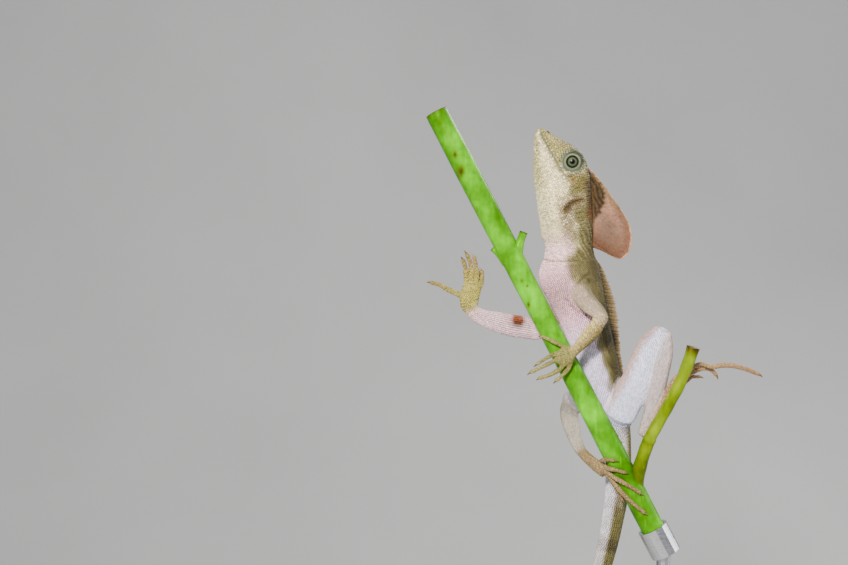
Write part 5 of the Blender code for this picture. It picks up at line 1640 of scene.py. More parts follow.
def head_height(run, degrees):
    """Height of the head's plates: a bump at the side, less under the throat."""
    return 0.58 + 0.12 * bell(degrees - 105.0, 40.0) - 0.22 * ease(degrees, 130.0, 170.0)


def neck_height(run, degrees):
    """Height of the neck's plates, a little less below."""
    return 0.36 - 0.08 * ease(degrees, 90.0, 120.0)


def torso_height(run, degrees):
    """Height of the body's scales, more towards the back."""
    return 0.34 + 0.16 * ease(degrees, 90.0, 50.0)


def tail_height(run, degrees):
    """Height of the tail's scales: less towards its end, more along its top."""
    return np.interp(run, (182.0, 570.0), (0.42, 0.30)) + 0.14 * ease(degrees, 30.0, 5.0)


def make_coat(spine, tubes, ground, markings, group, chance):
    """All scales, as joined meshes laid in rows."""
    keep = head_keep(spine)
    unwrap_places(tubes)
    tail_start, tail_end = VENT + 2.0, spine.length - 2.0
    regions = (
        ("head_scales", "plate", 0.8, NECK_START, HEAD_SCALE, 1.0, head_height, "head", keep),
        ("neck_scales", "plate", NECK_START, NECK_END, HEAD_SCALE, 1.0, neck_height, "head", keep),
        ("body_scales", "keeled", NECK_END, tail_start, TORSO_SCALE, 1.0, torso_height, "torso", None),
        ("tail_scales", "keeled", tail_start, tail_end, TAIL_SCALE, 0.85, tail_height, "tail", None),
    )
    made = []
    for name, shape, start, end, sizes, width, high, key, kept_off in regions:
        scales = Scales(shape)
        lay_trunk(
            spine, ground, scales, start, end, lambda where: float(np.interp(where, *sizes)),
            lambda where: float(np.interp(where, *sizes)) * width, high, key, kept_off)
        if name == "head_scales":
            lay_lips(ground, scales)
        made.append(scales.object(name, markings, chance))
    limbs = Scales("keeled")
    beads = Scales("plate")
    for name, tube in tubes.items():
        if "digit" in name:
            lay_tube(name, tube, ground, beads, *DIGIT_ROWS)
        elif name.endswith(("hand", "foot")):
            lay_tube(name, tube, ground, beads, *PALM_ROWS)
        elif name == "left_forearm":
            lay_tube(name, tube, ground, beads, *LEFT_FOREARM_ROWS)
        else:
            rows = RIGHT_FOREARM_ROWS if name == "right_forearm" else LIMB_ROWS
            lay_tube(name, tube, ground, limbs, *rows)
    made.append(limbs.object("limb_scales", markings, chance))
    made.append(beads.object("digit_scales", markings, chance))
    material = skin_material("scales", group)
    for piece in made:
        piece.data.materials.append(material)
    return made


def lid_tint(reach, way):
    """Colour of a lid by distance from the eye's middle: pale rings between dark ones, darker to the rear,
    where the outermost ring is painted shade in the groove.
    """
    paint = Paint(COAT["lid"], np.shape(reach))
    rear = ease(way @ unit(LID_DARK_SIDE), -0.35, 0.65)
    for where, width, colour, weight, sided in LID_RINGS:
        paint.over(colour, bell(reach - where, width) * weight * (1.0 - sided * (1.0 - rear)))
    return paint.colour


# Section of a lid: distance from the eye's middle, height
LID_PROFILE = np.array((
    (3.30, 3.10), (3.42, 3.72), (3.62, 3.98), (3.86, 3.92), (4.06, 3.62), (4.22, 3.46), (4.42, 3.52),
    (4.66, 3.50), (4.92, 3.16), (5.08, 2.96), (5.28, 2.98), (5.52, 2.88), (5.80, 2.50), (6.10, 2.10),
    (LID_REACH, 1.70),
))
LID_SIDES = 120
LID_THICKNESS = 0.9
# How far the outer edge of a lid sinks into the skin, and where that starts
LID_SINKS = 0.35
LID_BLEND = 4.5
# Rings of granules on a lid: distance from the eye's middle, how many
LID_BEADS = ((3.86, 40), (4.60, 44), (5.42, 46))


def make_lids(spine, ground, group):
    """Lids and brow folds round each eye: a profile that rises over the ball and sinks into the skin.

    A point is eye + out times height + reach (cos a, sin a) across, for reach and height along the profile.
    """
    even = np.linspace(0, 1, len(LID_PROFILE))
    fine = between(np.linspace(0, 1, 44), even, LID_PROFILE)
    angle = once_round(LID_SIDES)
    rim_height = LID_PROFILE[-1, 1]
    lids = Parts()
    beads = []
    for side in (1, -1):
        eye, out = eye_place(spine, side)
        around = spokes(angle, out)
        edge = np.empty(LID_SIDES)
        for number in range(LID_SIDES):
            start = eye + around[number] * LID_REACH + out * 12.0
            hit, _, _, _ = ground.tree.ray_cast(start.tolist(), (-out).tolist())
            edge[number] = (np.array(hit) - eye) @ out if hit is not None else rim_height
        reach = np.tile(fine[:, 0], (LID_SIDES, 1))
        drop = (edge - rim_height - LID_SINKS)[:, None]
        ripple = 0.06 * np.sin(angle * 38.0)[:, None] * bell(reach - 4.5, 0.9)
        height = fine[:, 1][None] + ease(reach, LID_BLEND, LID_REACH) * drop + ripple
        upper = eye + out * height[..., None] + around[:, None] * reach[..., None]
        under = eye + out * (height[..., None] - LID_THICKNESS) + around[:, None] * reach[..., None]
        loop = there_and_back(upper, under)
        count = loop.shape[1]
        i, j = np.indices((LID_SIDES, count)).reshape(2, -1)
        k, m = (i + 1) % LID_SIDES, (j + 1) % count
        quads = np.stack([i * count + j, k * count + j, k * count + m, i * count + m], axis=1)
        ring = there_and_back(reach, reach)
        colour = lid_tint(ring, np.repeat(around[:, None], count, axis=1)).reshape(-1, 3)
        lids.add(loop.reshape(-1, 3), quads, tint=colour, rise=0.6)
        for row_reach, number in LID_BEADS:
            turn = (np.arange(number) + 0.5 * (row_reach > LID_BLEND)) * 2 * math.pi / number
            way = spokes(turn, out)
            edge_here = np.interp(turn, np.append(angle, 2 * math.pi), np.append(edge, edge[0]))
            level = np.interp(row_reach, fine[:, 0], fine[:, 1])
            level = level + ease(row_reach, LID_BLEND, LID_REACH) * (edge_here - rim_height - LID_SINKS)
            spot = eye + out * level[:, None] + way * row_reach
            size = np.full(number, row_reach / number * 6.0)
            shade = lid_tint(np.full(number, row_reach), way)
            beads.append((spot, unit(out + way * 0.45), np.cross(out, way), size, shade))
    return lids.piece("eyelids", skin_material("lid skin", group)), beads


def make_lid_scales(beads, chance, group):
    """Small granules in rings on the lids."""
    scales = Scales("plate")
    for number, (spot, out, along, size, _) in enumerate(beads):
        share = np.linspace(0.0, 1.0, len(spot), endpoint=False)
        far_side = 0.5 if number >= len(LID_BEADS) else 0.0
        lane = np.full(len(spot), 0.28 + 0.02 * (number % len(LID_BEADS)))
        patch = on_map("head", 0.15 + 0.05 * share + far_side, lane)
        scales.add(spot, out, along, size * 0.98, size * 0.80, 0.16, patch)
    made = scales.object("lid_scales", np.vstack([shade for *_, shade in beads]), chance)
    made.data.materials.append(skin_material("lid scales", group))
    return made


def eye_material():
    """Eye: a dark pupil, a grey-green iris with fine spokes and a dark rim, under a wet coat."""
    material, tree, shader = node_material("eye")
    wobble = maths(tree, "MULTIPLY", noise(tree, object_place(tree), 1500.0, 3.0), 0.05)
    colour = ramp(
        tree, maths(tree, "ADD", kept(tree, "polar"), wobble),
        (0.0, linear(4, 5, 4)), (0.27, linear(8, 9, 7)), (0.31, linear(66, 72, 62)),
        (0.36, linear(114, 122, 114)), (0.46, linear(108, 118, 104)), (0.55, linear(88, 98, 86)),
        (0.61, linear(40, 46, 36)), (0.84, linear(26, 30, 22)), (1.0, linear(46, 46, 34)))
    streak = spread(tree, kept(tree, "spoke"), -1.0, 1.0, 0.82, 1.12)
    feed(tree, shader, {
        "Base Color": scaled(tree, colour, streak), "Roughness": 0.30, "Specular IOR Level": 0.12,
        "Coat Weight": 0.06, "Coat Roughness": 0.03,
    })
    return material


def make_eyes(spine):
    """Eyeballs: rings about the way each looks, with a cornea that swells in the middle.

    A point is eye + radius (cos p out + sin p across), and the radius has a bump of 0.10 at small p.
    """
    material = eye_material()
    polar = np.concatenate([np.linspace(0.02, 0.95, 60), np.linspace(1.0, 3.08, 26)])
    radius = EYE_RADIUS - 0.04 + 0.10 * bell(polar, 0.42)
    angle = once_round(64)
    made = []
    for side, word in ((1, "left"), (-1, "right")):
        eye, out = eye_place(spine, side)
        ahead = (radius * np.cos(polar))[:, None, None] * out
        grid = eye + ahead + (radius * np.sin(polar))[:, None, None] * spokes(angle, out)[None]
        ball = Parts()
        ball.add_grid(grid, polar=polar[:, None], spoke=np.cos(angle * 23.0)[None])
        made.append(ball.piece("eyeball_" + word, material))
    return made


def make_nostrils(spine, ground, group):
    """Nostrils: a raised rim round a cup painted near black inside as the shade of the opening, as rings of a
    profile about the way out of the snout.
    """
    rim = Parts()
    angle = once_round(28)
    profile = np.array((
        (1.45, -0.35), (1.38, 0.05), (1.20, 0.30), (0.98, 0.38), (0.84, 0.22), (0.76, -0.10), (0.50, -0.45),
        (0.02, -0.50),
    ))
    reach, height = profile.T[..., None, None]
    # Painted shade: the cup inside the rim is near black
    shade = ease(reach, 0.80, 1.10)
    colour = linear(14, 12, 9) * (1 - shade) + linear(176, 168, 132) * shade
    distance, degrees = NOSTRIL_AT
    for side in (1, -1):
        spot = trunk_surface(spine, [distance], [math.radians(degrees) * side])[0]
        place, out, _ = ground.seat(spot)
        place, out = place[0], out[0]
        grid = place + height * out + reach * spokes(angle, out, 1.15, 0.9)[None]
        rim.add_grid(grid, tint=colour, rise=0.6)
    return rim.piece("nostril_rims", skin_material("nostril skin", group))


def claw_material():
    """Claw horn: pale at the root and dark at the tip, by the share along the claw times a noise."""
    material, tree, shader = node_material("claw horn")
    grain = noise(tree, object_place(tree), 900.0, 3.0)
    shade = maths(tree, "MULTIPLY", kept(tree, "share"), grain)
    feed(tree, shader, {
        "Base Color": ramp(
            tree, shade, (0.0, linear(176, 152, 116)), (0.30, linear(138, 108, 78)),
            (0.75, linear(78, 56, 40))),
        "Normal": bump(tree, grain, 0.2, 0.0001), "Roughness": 0.32,
    })
    return material


def make_claws():
    """Hooked claws: an oval that narrows to a point along a path that bends down."""
    claws = Parts()
    angle = once_round(12)
    share = np.linspace(0.0, 1.0, 12)
    for name, rows, _ in all_digits():
        path = through(rows, 20)
        ahead = unit(path[-1, :3] - path[-2, :3])
        down = np.asarray(HOOK[name], float)
        down = unit(down - (down @ ahead) * ahead)
        side = np.cross(ahead, down)
        radius = path[-1, 3] * 0.80 * (1 - share) ** 0.75 + 0.06
        forward = share * (CLAW_LENGTH + 0.6) - 0.3
        centre = path[-1, :3] + ahead * forward[:, None] + down * (CLAW_HOOK * share**2.2)[:, None]
        grid = (
            centre[:, None]
            + (radius[:, None] * np.cos(angle))[..., None] * down * 1.05
            + (radius[:, None] * np.sin(angle))[..., None] * side * 0.72
        )
        claws.add_grid(grid, share=share[:, None])
    return claws.piece("claws", claw_material())


# Rays of the head crest from front to back, and steps from its root to its edge
CREST_RAYS = 150
CREST_STEPS = 80
# Lines of plates on the head crest, and the distance between plates
PLATE_LINES = 64
PLATE_STEP = 1.0


def crest_sheet(rays, steps):
    """The head crest in its own plane: straight lines from its root to points along its free edge."""
    knots = knots_of(CREST_EDGE)
    edge = hermite(np.linspace(0.0, knots[-1], rays), knots, CREST_EDGE)
    root = hermite(np.linspace(0.0, 1.0, rays), np.array((0.0, 0.5, 1.0)), CREST_ROOT)
    share = np.linspace(0.0, 1.0, steps)
    return root[:, None] * (1 - share[None, :, None]) + edge[:, None] * share[None, :, None], share


def crest_tint(x, z, ray, share):
    """Crest colour: brown where it rises from the nape, pinkish tan beyond, with a pale rim."""
    paint = Paint(COAT["crest"], np.broadcast(ray, share).shape)
    paint.over(COAT["crest lower rays"], ease(ray, 0.50, 0.90) * (0.95 - 0.45 * ease(ray, 0.84, 1.0)))
    paint.over(COAT["crest upper rays"], bell(ray - 0.17, 0.17) * ease(share, 0.34, 0.80) * 0.97)
    paint.over(COAT["crest low edge"], bell(ray - 0.60, 0.16) * ease(share, 0.72, 0.92) * 0.6)
    paint.over(COAT["crest mid edge"], bell(ray - 0.40, 0.13) * ease(share, 0.62, 0.9) * 0.6)
    paint.over(COAT["crest middle"], bell(ray - 0.62, 0.14) * bell(share - 0.5, 0.25) * 0.7)
    blotch = np.sin(x * 0.9 + 1.7 * np.sin(z * 0.7)) * np.sin(z * 1.1 + 1.3 * np.sin(x * 0.8))
    paint.over(COAT["crest blotch"], ease(blotch, 0.2, 0.8) * ease(share, 0.2, 0.5) * 0.35)
    uneven = 0.45 * np.sin(z * 1.1) + 0.3 * np.sin(z * 2.3 + 1.0)
    edge = np.interp(z, BROWN_EDGE[:, 1], BROWN_EDGE[:, 0]) + uneven
    paint.over(COAT["crest root"], ease(x, edge + 1.7, edge - 1.1) * 0.97)
    streak = 0.5 + 0.5 * np.sin(x * 2.3 + 0.9 * z + 1.2 * np.sin(z * 0.6))
    paint.over(COAT["crest root streak"], ease(x, edge + 0.4, edge - 1.6) * ease(streak, 0.35, 0.9) * 0.75)
    paint.over(COAT["crest root gleam"], ease(x, edge + 0.2, edge - 1.4) * ease(streak, 0.3, 0.02) * 0.5)
    paint.over(COAT["crest at the nape"], ease(x, -1.4, -3.6) * ease(z, 545.0, 538.0) * 0.8)
    paint.over(COAT["crest rust"], bell(z - 522.5, 5.0) * ease(x, -1.5, -4.5))
    paint.over(COAT["crest foot"], ease(z, 519.0, 513.0) * ease(x, -2.4, -4.4) * 0.9)
    paint.over(COAT["crest rim"], ease(share, 0.955, 0.99) * 0.85)
    return paint.colour


def crest_sway(ray, share):
    """How far the crest bends to the side: a slow wave along it, times the share to its edge squared."""
    return 0.7 * np.sin(ray * 2.6) * share**2


def make_head_crest(group, chance):
    """The head crest: the sheet given a thickness that thins to its edge, with low rays and a round rim.

    Half thickness is root to edge by (1 - share) to 1.5, plus ripples along the rays.
    """
    sheet, share = crest_sheet(CREST_RAYS, CREST_STEPS)
    ray = np.linspace(0.0, 1.0, CREST_RAYS)[:, None]
    thin = (1 - share) ** 1.5
    half = (CREST_THICK_ROOT * thin + CREST_THICK_EDGE * (1 - thin)) / 2
    ripple = 0.16 * np.cos(ray * 2 * math.pi * 11 + 0.8 * np.sin(share * 9))
    ripple = ripple * ease(share, 0.12, 0.5) * ease(share, 1.0, 0.85)
    rim = 0.14 * bell(share - 0.955, 0.03)
    end = np.sqrt(np.clip(1 - ease(share, 0.985, 1.0) ** 2 * 0.9, 0, 1))
    ends = np.sqrt(np.clip(ease(ray, 0.0, 0.04) * ease(ray, 1.0, 0.96), 0.02, 1.0))
    half = (half[None] + ripple + rim[None]) * end[None] * ends
    middle = CREST_Y + crest_sway(ray, share[None])
    near = np.stack([sheet[..., 0], middle - half, sheet[..., 1]], axis=-1)
    far = np.stack([sheet[..., 0], middle + half, sheet[..., 1]], axis=-1)
    tint = crest_tint(sheet[..., 0], sheet[..., 1], ray, share[None]) * CREST_GAP_SHADE
    crest = Parts()
    crest.add_grid(there_and_back(near, far), tint=there_and_back(tint, tint), rise=0.6)
    skin = crest.piece("head_crest_skin", skin_material("crest skin", group))
    scales = make_crest_scales(sheet, half, share, chance)
    scales.data.materials.append(skin_material("crest scales", group))
    return [skin, scales]


def make_crest_scales(sheet, half, share, chance):
    """Small plates on both sides of the head crest, in lines from root to edge, fewer near the root."""
    rays, steps = half.shape
    ray = np.linspace(0.0, 1.0, rays)
    spots, ways, outs, places_on_sheet, tints = [], [], [], [], []
    for number, line in enumerate(np.linspace(0.03, 0.97, PLATE_LINES)):
        row, high, thick = (
            np.array([np.interp(line, ray, values[:, k]) for k in range(steps)])
            for values in (sheet[..., 0], sheet[..., 1], half)
        )
        lean = crest_sway(line, share)
        run = np.concatenate([[0.0], np.cumsum(np.hypot(np.diff(row), np.diff(high)))])
        first = run[-1] * 0.16 + PLATE_STEP * 0.5 * (number % 2)
        places = np.arange(first, run[-1] - 0.5, PLATE_STEP)
        gap = np.interp(places, run, np.linspace(0, 1, steps))
        chosen = chance.random(len(places)) < 0.5 + 0.5 * gap
        places, gap = places[chosen], gap[chosen]
        count = len(places)
        way = unit(np.array((row[-1] - row[0], 0.0, high[-1] - high[0])))
        x, z = np.interp(places, run, row), np.interp(places, run, high)
        for side in (-1, 1):
            y = CREST_Y + np.interp(places, run, lean) + side * np.interp(places, run, thick)
            spots.append(np.stack([x, y, z], axis=1))
            ways.append(np.tile(way, (count, 1)))
            outs.append(np.tile((0.0, float(side), 0.0), (count, 1)))
            places_on_sheet.append(np.stack([gap, np.full(count, line)], axis=1))
            tints.append(crest_tint(x, z, np.full(count, line), gap))
    spots, ways, outs, tints = (np.vstack(rows) for rows in (spots, ways, outs, tints))
    gap, line = np.vstack(places_on_sheet).T
    patch = on_map("head", 0.35 + 0.3 * line, 0.75 + 0.24 * gap)
    plates = Scales("plate")
    plates.add(spots, outs, ways, 1.15, 0.35 + 0.62 * gap, 0.26, patch)
    return plates.object("crest_scales", tints, chance)


def make_dorsal_crest(spine, group):
    """The crest along the back: a fin whose edge runs in small teeth that lean to the tail.

    Height is its named height times (0.86 + 0.14 tooth), and each tooth is a rib, thicker in its middle, with
    knots like a row of beads up it.
    """
    first, last = DORSAL_RUN
    run = np.linspace(first, last, int((last - first) / TOOTH_PITCH * 12))
    phase = (run - first) / TOOTH_PITCH + 0.22 * np.sin(run * 0.9) + 0.12 * np.sin(run * 2.3)
    whole = np.floor(phase)
    part = phase - whole
    uneven = 1.0 + 0.45 * np.sin(whole * 2.4) + 0.3 * np.sin(whole * 5.1)
    tooth = np.where(part < 0.7, ease(part, 0.0, 0.7), ease(part, 1.0, 0.7)) * uneven
    height = np.interp(run, DORSAL_HEIGHTS[:, 0], DORSAL_HEIGHTS[:, 1]) * (0.86 + 0.14 * tooth) + 0.18 * tooth
    height *= ease(run, first - 0.1, first + 4.0) * 0.9 + 0.1
    share = np.concatenate([[-0.9], np.linspace(0.0, 1.0, 14)])
    above = np.clip(share, 0, 1)
    _, tangent, back, left = spine.at(run)
    root = trunk_surface(spine, run, [0.0])[:, 0]
    rise = np.where(share[None] < 0, share[None] * 1.6, share[None] * height[:, None])
    slope = 0.50 * above[None] * height[:, None]
    centre = root[:, None] + rise[..., None] * back[:, None] + slope[..., None] * tangent[:, None]
    rib = np.sin(math.pi * part)[:, None]
    knots = np.cos(2 * math.pi * (np.clip(rise, 0, None) / 1.5 + 0.5 * (whole % 2)[:, None]))
    half = (0.90 * (1 - above) ** 0.8 + 0.30)[None] * (0.55 + 0.45 * rib) * (0.86 + 0.14 * knots)
    half = half * np.where(share > 0.98, 0.45, 1.0)[None]
    near, far = centre + half[..., None] * left[:, None], centre - half[..., None] * left[:, None]
    low, middle, pale = linear(92, 76, 46), linear(140, 120, 92), linear(186, 168, 142)
    blend = above[None, :, None]
    # Painted shade: darker between the teeth and in the hollows between the knots
    dark = ((0.80 + 0.24 * rib) * (0.88 + 0.12 * knots))[..., None]
    lower, upper = low + (middle - low) * blend * 2, middle + (pale - middle) * (blend * 2 - 1)
    tint = np.where(blend < 0.5, lower, upper) * dark
    fin = Parts()
    fin.add_grid(there_and_back(near, far), tint=there_and_back(tint, tint), rise=0.6)
    return fin.piece("back_crest", skin_material("back crest skin", group))


# Barks: base, dark and pale colour, strength of the pores, roughness, colour of the glint
BARKS = {
    "green bark": ((106, 180, 0), (72, 136, 0), (156, 208, 0), 0.20, 0.34, (0.6, 1.0, 0.0)),
    "twig bark": ((140, 162, 0), (104, 128, 0), (172, 186, 24), 0.30, 0.45, (1.0, 1.0, 0.1)),
}


def bark_material(name):
    """Green bark: long streaks, pale pores, darker blotches and brown scars where the mesh keeps a mark."""
    *colours, spots, rough, glint = BARKS[name]
    base, dark, pale = (linear(*colour) for colour in colours)
    material, tree, shader = node_material(name)
    place = object_place(tree)
    turned = moved(tree, place, Rotation=(0.0, STEM_LEAN, 0.0), Scale=(1.0, 1.0, 0.12))
    streak = noise(tree, turned, 420.0, 4.0)
    broad = noise(tree, place, 38.0, 4.0, Roughness=0.6)
    colour = ramp(tree, broad, (0.30, dark), (0.48, base), (0.70, pale))
    lit = scaled(tree, colour, spread(tree, streak, 0.3, 0.7, 0.82, 1.14))
    pore = ramp(tree, cells(tree, turned, 260.0), (0.0, (1, 1, 1)), (0.10, (1, 1, 1)), (0.16, (0, 0, 0)))
    pored = mixed(tree, maths(tree, "MULTIPLY", pore, spots), lit, (*pale, 1.0))
    brown = ramp(tree, streak, (0.35, linear(70, 44, 26)), (0.65, linear(124, 92, 60)))
    feed(tree, shader, {
        "Base Color": mixed(tree, kept(tree, "mark"), pored, brown),
        "Normal": bump(tree, maths(tree, "ADD", streak, pore), 0.25, 0.0002), "Roughness": rough,
        "Specular IOR Level": 0.2, "Specular Tint": (*glint, 1.0),
    })
    return material


def make_stem():
    """Stem with two cut leaf stalks: tubes whose radius swells gently, with a burr at the cut.

    Each ring is scaled about the axis by 1 + (low waves round and along it + a bump at the node) / radius.
    """
    count = STEM_RINGS
    middle = np.array([on_stem(height, 0.0, 0.0) for height in np.linspace(STEM_TOP, STEM_BOTTOM, count)])
    share = np.linspace(0.0, 1.0, count)
    swell = STEM_RADIUS * (1.0 + 0.03 * np.sin(share * 9.0))
    stem = Tube(np.column_stack([middle, swell]), (0, 1, 0), count)
    angle = once_round(72)
    stops = np.linspace(0.0, stem.length, count)
    grid = stem.surface(stops, angle)
    centre = stem.path[:, None]
    rough = (
        -0.05 + 0.05 * np.sin(angle * 3 + 1.0)[None] * np.sin(share * 21.0)[:, None]
        + 0.04 * np.sin(angle * 7)[None] * np.sin(share * 47.0 + 2.0)[:, None]
    )
    node = 0.35 * bell((share - NODE_AT) * count, 3.0)[:, None] * (1.0 + 0.3 * np.cos(angle))[None]
    burr = 0.18 * bell(stops, 0.7)[:, None] - 0.22 * bell(stops - 1.3, 0.8)[:, None]
    scale = 1.0 + (rough + node * 0.5 + burr * 0.4 - 0.06) / STEM_RADIUS
    grid = centre + (grid - centre) * scale[..., None]
    mark = np.zeros(grid.shape[:2])
    near_side = grid[..., 1] < 1.0
    for x, z, width, tall in BARK_MARKS:
        gap = np.hypot((grid[..., 0] - x) / width, (grid[..., 2] - z) / tall)
        mark = np.maximum(mark, bell(gap, 0.8) * near_side)
    mark = np.maximum(mark, bell(stops, 0.5)[:, None] * 0.8)
    perch = Parts()
    perch.add_grid(grid, mark=mark)
    for height, degrees, direction, radius, length in STALKS:
        root = on_stem(height, degrees, STEM_RADIUS - STALK_SUNK)
        ahead = unit(np.asarray(direction))
        rows = [(*(root + ahead * at * (length + STALK_SUNK)), radius * wide) for at, wide in STALK_FORM]
        stalk = Tube(rows, (0, 1, 0), 40)
        stops = np.linspace(0.0, stalk.length, 40)
        cut = ease(stops, stalk.length - 1.2, stalk.length) * 0.9
        perch.add_grid(stalk.surface(stops, once_round(32)), mark=cut[:, None])
    return perch.piece("stem", bark_material("green bark"))


def make_twig():
    """Twig: a tube with a lump at its node, five low ridges, and a torn brown end."""
    twig = Tube(TWIG, (1, 0, 0), 140)
    stops = np.linspace(0.0, twig.length, 140)
    angle = once_round(48)
    grid = twig.surface(stops, angle)
    centre = twig.path[:, None]
    share = stops / twig.length
    lump = 0.45 * bell(stops - TWIG_NODE_AT, 1.4) + 0.12 * np.sin(stops * 0.5)
    torn = 0.25 * ease(share, 0.965, 1.0)[:, None] * (np.sin(angle * 7 + 1.2) - 0.6)[None]
    ridges = 0.07 * np.sin(angle * 5)[None]
    scale = 1.0 + (lump[:, None] * 0.8 + torn + ridges - 0.1) / twig.fine[:, 3][:, None]
    grid = centre + (grid - centre) * scale[..., None]
    mark = ease(share, 0.93, 1.0) * 0.95 + 0.35 * bell(stops - 31.4, 0.5)
    perch = Parts()
    perch.add_grid(grid, mark=mark[:, None])
    return perch.piece("twig", bark_material("twig bark"))


def wood_material():
    """Turned dark wood: rings of growth stretched across the base, fine pores and a satin coat."""
    material, tree, shader = node_material("turned walnut")
    place = object_place(tree)
    turned = moved(tree, place, Location=(0.35, 0.02, 0.04), Scale=(0.35, 5.0, 5.0))
    bend = noise(tree, turned, 6.0, 3.0)
    rings = add_node(tree, "TexWave", {
        "Vector": turned, "Scale": 7.0, "Distortion": 5.0, "Detail": 3.0, "Detail Scale": 1.4,
    }, wave_type="BANDS", bands_direction="Y").outputs["Fac"]
    colour = ramp(
        tree, rings, (0.0, linear(66, 40, 26)), (0.45, linear(98, 62, 40)), (0.8, linear(120, 80, 52)),
        (1.0, linear(84, 52, 34)))
    pores = noise(tree, moved(tree, place, Scale=(0.06, 1.0, 1.0)), 1400.0, 3.0)
    feed(tree, shader, {
        "Base Color": scaled(tree, colour, spread(tree, pores, 0.35, 0.6, 0.72, 1.06)),
        "Roughness": spread(tree, bend, 0.3, 0.7, 0.34, 0.48), "Normal": bump(tree, pores, 0.18, 0.0002),
        "Coat Weight": 0.3, "Coat Roughness": 0.25,
    })
    return material


def steel_material():
    """Brushed steel: fine lines round the rod and a soft gloss that varies."""
    material, tree, shader = node_material("brushed steel")
    lines = noise(tree, moved(tree, object_place(tree), Scale=(1.0, 1.0, 14.0)), 300.0, 3.0)
    feed(tree, shader, {
        "Base Color": ramp(tree, lines, (0.3, (0.42, 0.42, 0.43)), (0.7, (0.60, 0.60, 0.61))),
        "Roughness": spread(tree, lines, 0.3, 0.7, 0.24, 0.40), "Normal": bump(tree, lines, 0.08, 0.0001),
        "Metallic": 1.0,
    })
    return material


def dress_stand():
    """Gives the stand's own solids their finishes."""
    finishes = {"stand_base": wood_material(), "stand_rod": steel_material(), "stand_cup": steel_material()}
    for name, material in finishes.items():
        for slot in bpy.data.objects[name].material_slots:
            slot.material = material


def make_floor():
    """A pale floor that sweeps up behind: a flat strip, a quarter circle and an upright strip."""
    across = np.linspace(-6000.0, 6000.0, 3)
    bend = np.linspace(0.0, math.pi / 2, 24)
    radius = start = 900.0
    depth = np.concatenate([[-5000.0], start + radius * np.sin(bend), [start + radius]])
    height = np.concatenate([[0.0], radius * (1 - np.cos(bend)), [6000.0]])
    points = np.stack([np.tile(across, len(depth)), np.repeat(depth, 3), np.repeat(height, 3)], axis=1)
    rows = np.arange(len(depth) - 1)[:, None] * 3 + np.arange(2)
    sweep = Parts()
    sweep.add(points, np.stack([rows, rows + 1, rows + 4, rows + 3], axis=-1).reshape(-1, 4))
    floor = sweep.object("floor")
    material, tree, shader = node_material("floor")
    grain = noise(tree, object_place(tree), 3.0, 3.0)
    feed(tree, shader, {
        "Base Color": ramp(tree, grain, (0.3, (0.40, 0.40, 0.395)), (0.7, (0.43, 0.43, 0.425))),
        "Roughness": 0.85,
    })
    floor.data.materials.append(material)


# Soft lights: name, place in metres, size, watts, colour; they aim at the middle of the animal
LIGHTS = (
    ("key", (-0.50, -1.38, 1.12), 0.26, 70.0, (1.0, 0.985, 0.96)),
    ("fill", (1.86, 0.05, 0.75), 1.1, 23.0, (0.96, 0.98, 1.0)),
    ("rim", (0.75, 0.75, 1.35), 0.6, 20.0, (1.0, 0.98, 0.95)),
)
LIGHTS_AIM = np.array((-0.005, 0.0, 0.46))
SKY_COLOUR = (0.90, 0.93, 1.0, 1.0)
SKY_STRENGTH = 0.42
# Camera: place in metres, and the focal length and sensor width in millimetres
CAMERA_AT = (-0.09856, -0.650, 0.4876)
FOCAL_LENGTH = 49.2756
SENSOR_WIDTH = 36.0


def place_in_scene(name, data, spot, turn):
    """A light or camera as an object of the scene."""
    item = bpy.data.objects.new(name, data)
    item.location = spot
    item.rotation_euler = turn
    bpy.context.scene.collection.objects.link(item)
    return item


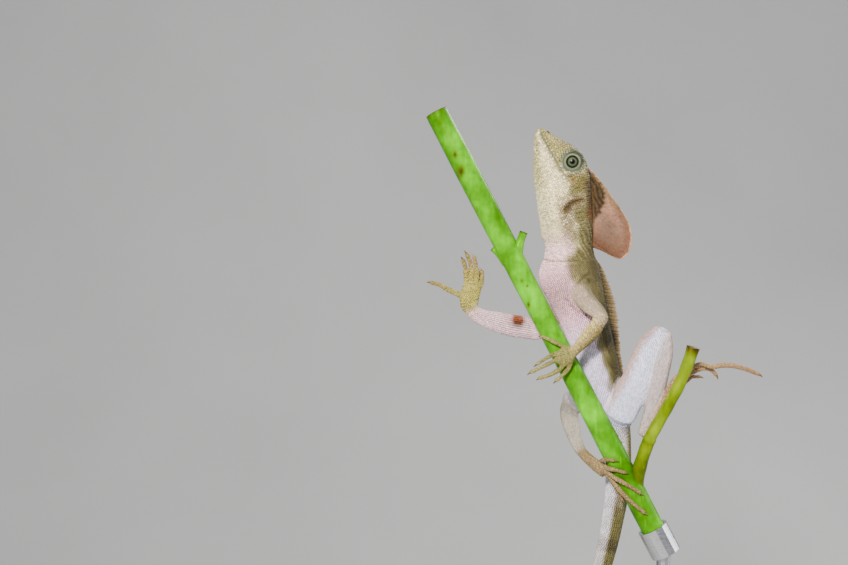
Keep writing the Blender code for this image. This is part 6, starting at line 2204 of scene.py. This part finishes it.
def make_studio():
    """The floor, a soft even sky, a key light, two fills, and a level camera at the picture's angle."""
    make_floor()
    sky = bpy.data.worlds.new("studio")
    bpy.context.scene.world = sky
    sky.use_nodes = True
    feed(sky.node_tree, sky.node_tree.nodes["Background"], {"Color": SKY_COLOUR, "Strength": SKY_STRENGTH})
    for name, spot, size, watts, tint in LIGHTS:
        light = bpy.data.lights.new(name, "AREA")
        light.size = size
        light.energy = watts
        light.color = tint
        x, y, z = unit(LIGHTS_AIM - np.array(spot))
        place_in_scene(name, light, spot, (math.acos(-z), 0.0, math.atan2(-x, y)))
    lens = bpy.data.cameras.new("camera")
    lens.sensor_width = SENSOR_WIDTH
    lens.lens = FOCAL_LENGTH
    bpy.context.scene.camera = place_in_scene("camera", lens, CAMERA_AT, (math.pi / 2, 0.0, 0.0))


def all_digits():
    """Every digit: its hand or foot, its rows and its number."""
    found = [(name, rows, number) for name, digits in DIGITS.items() for number, rows in enumerate(digits, 1)]
    for number, toe in enumerate(WRAPPING_TOES, 1):
        rows = [
            (*on_stem(height, degrees, STEM_RADIUS + TOES_CLEAR + radius), radius)
            for height, degrees, radius in toe
        ]
        found.append(("right_foot", rows, number))
    return found


def all_tubes():
    """Every limb, palm and digit as a tube, by name."""
    tubes = {name: Tube(rows, WIDE[name]) for name, rows in LIMBS.items()}
    for name, rows, number in all_digits():
        tubes[f"{name}_digit_{number}"] = Tube(digit_rows(rows), HOOK[name], 40)
    return tubes


def main():
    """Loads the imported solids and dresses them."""
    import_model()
    chance = np.random.default_rng(SEED)
    spine = Spine(SPINE)
    tubes = all_tubes()
    markings = Markings(spine, tubes)
    group = skin_finish_group()

    skin = make_skin(spine, tubes, markings, group)
    ground = Ground(skin)
    coat = make_coat(spine, tubes, ground, markings, group, chance)
    lids, beads = make_lids(spine, ground, group)
    coat.append(make_lid_scales(beads, chance, group))
    nostrils = make_nostrils(spine, ground, group)
    claws = make_claws()
    eyes = make_eyes(spine)
    crest = make_head_crest(group, chance)
    back_crest = make_dorsal_crest(spine, group)
    stem, twig = make_stem(), make_twig()
    dress_stand()
    make_studio()

    for piece in (skin, *coat, lids, nostrils, claws, *eyes, *crest, back_crest, stem, twig):
        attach(piece, "root")
    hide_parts(*FLESH)
    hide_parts("head_crest")
    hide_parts("eye_left")
    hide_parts("eye_right")
    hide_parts("perch_stem")
    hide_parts("perch_twig")


main()
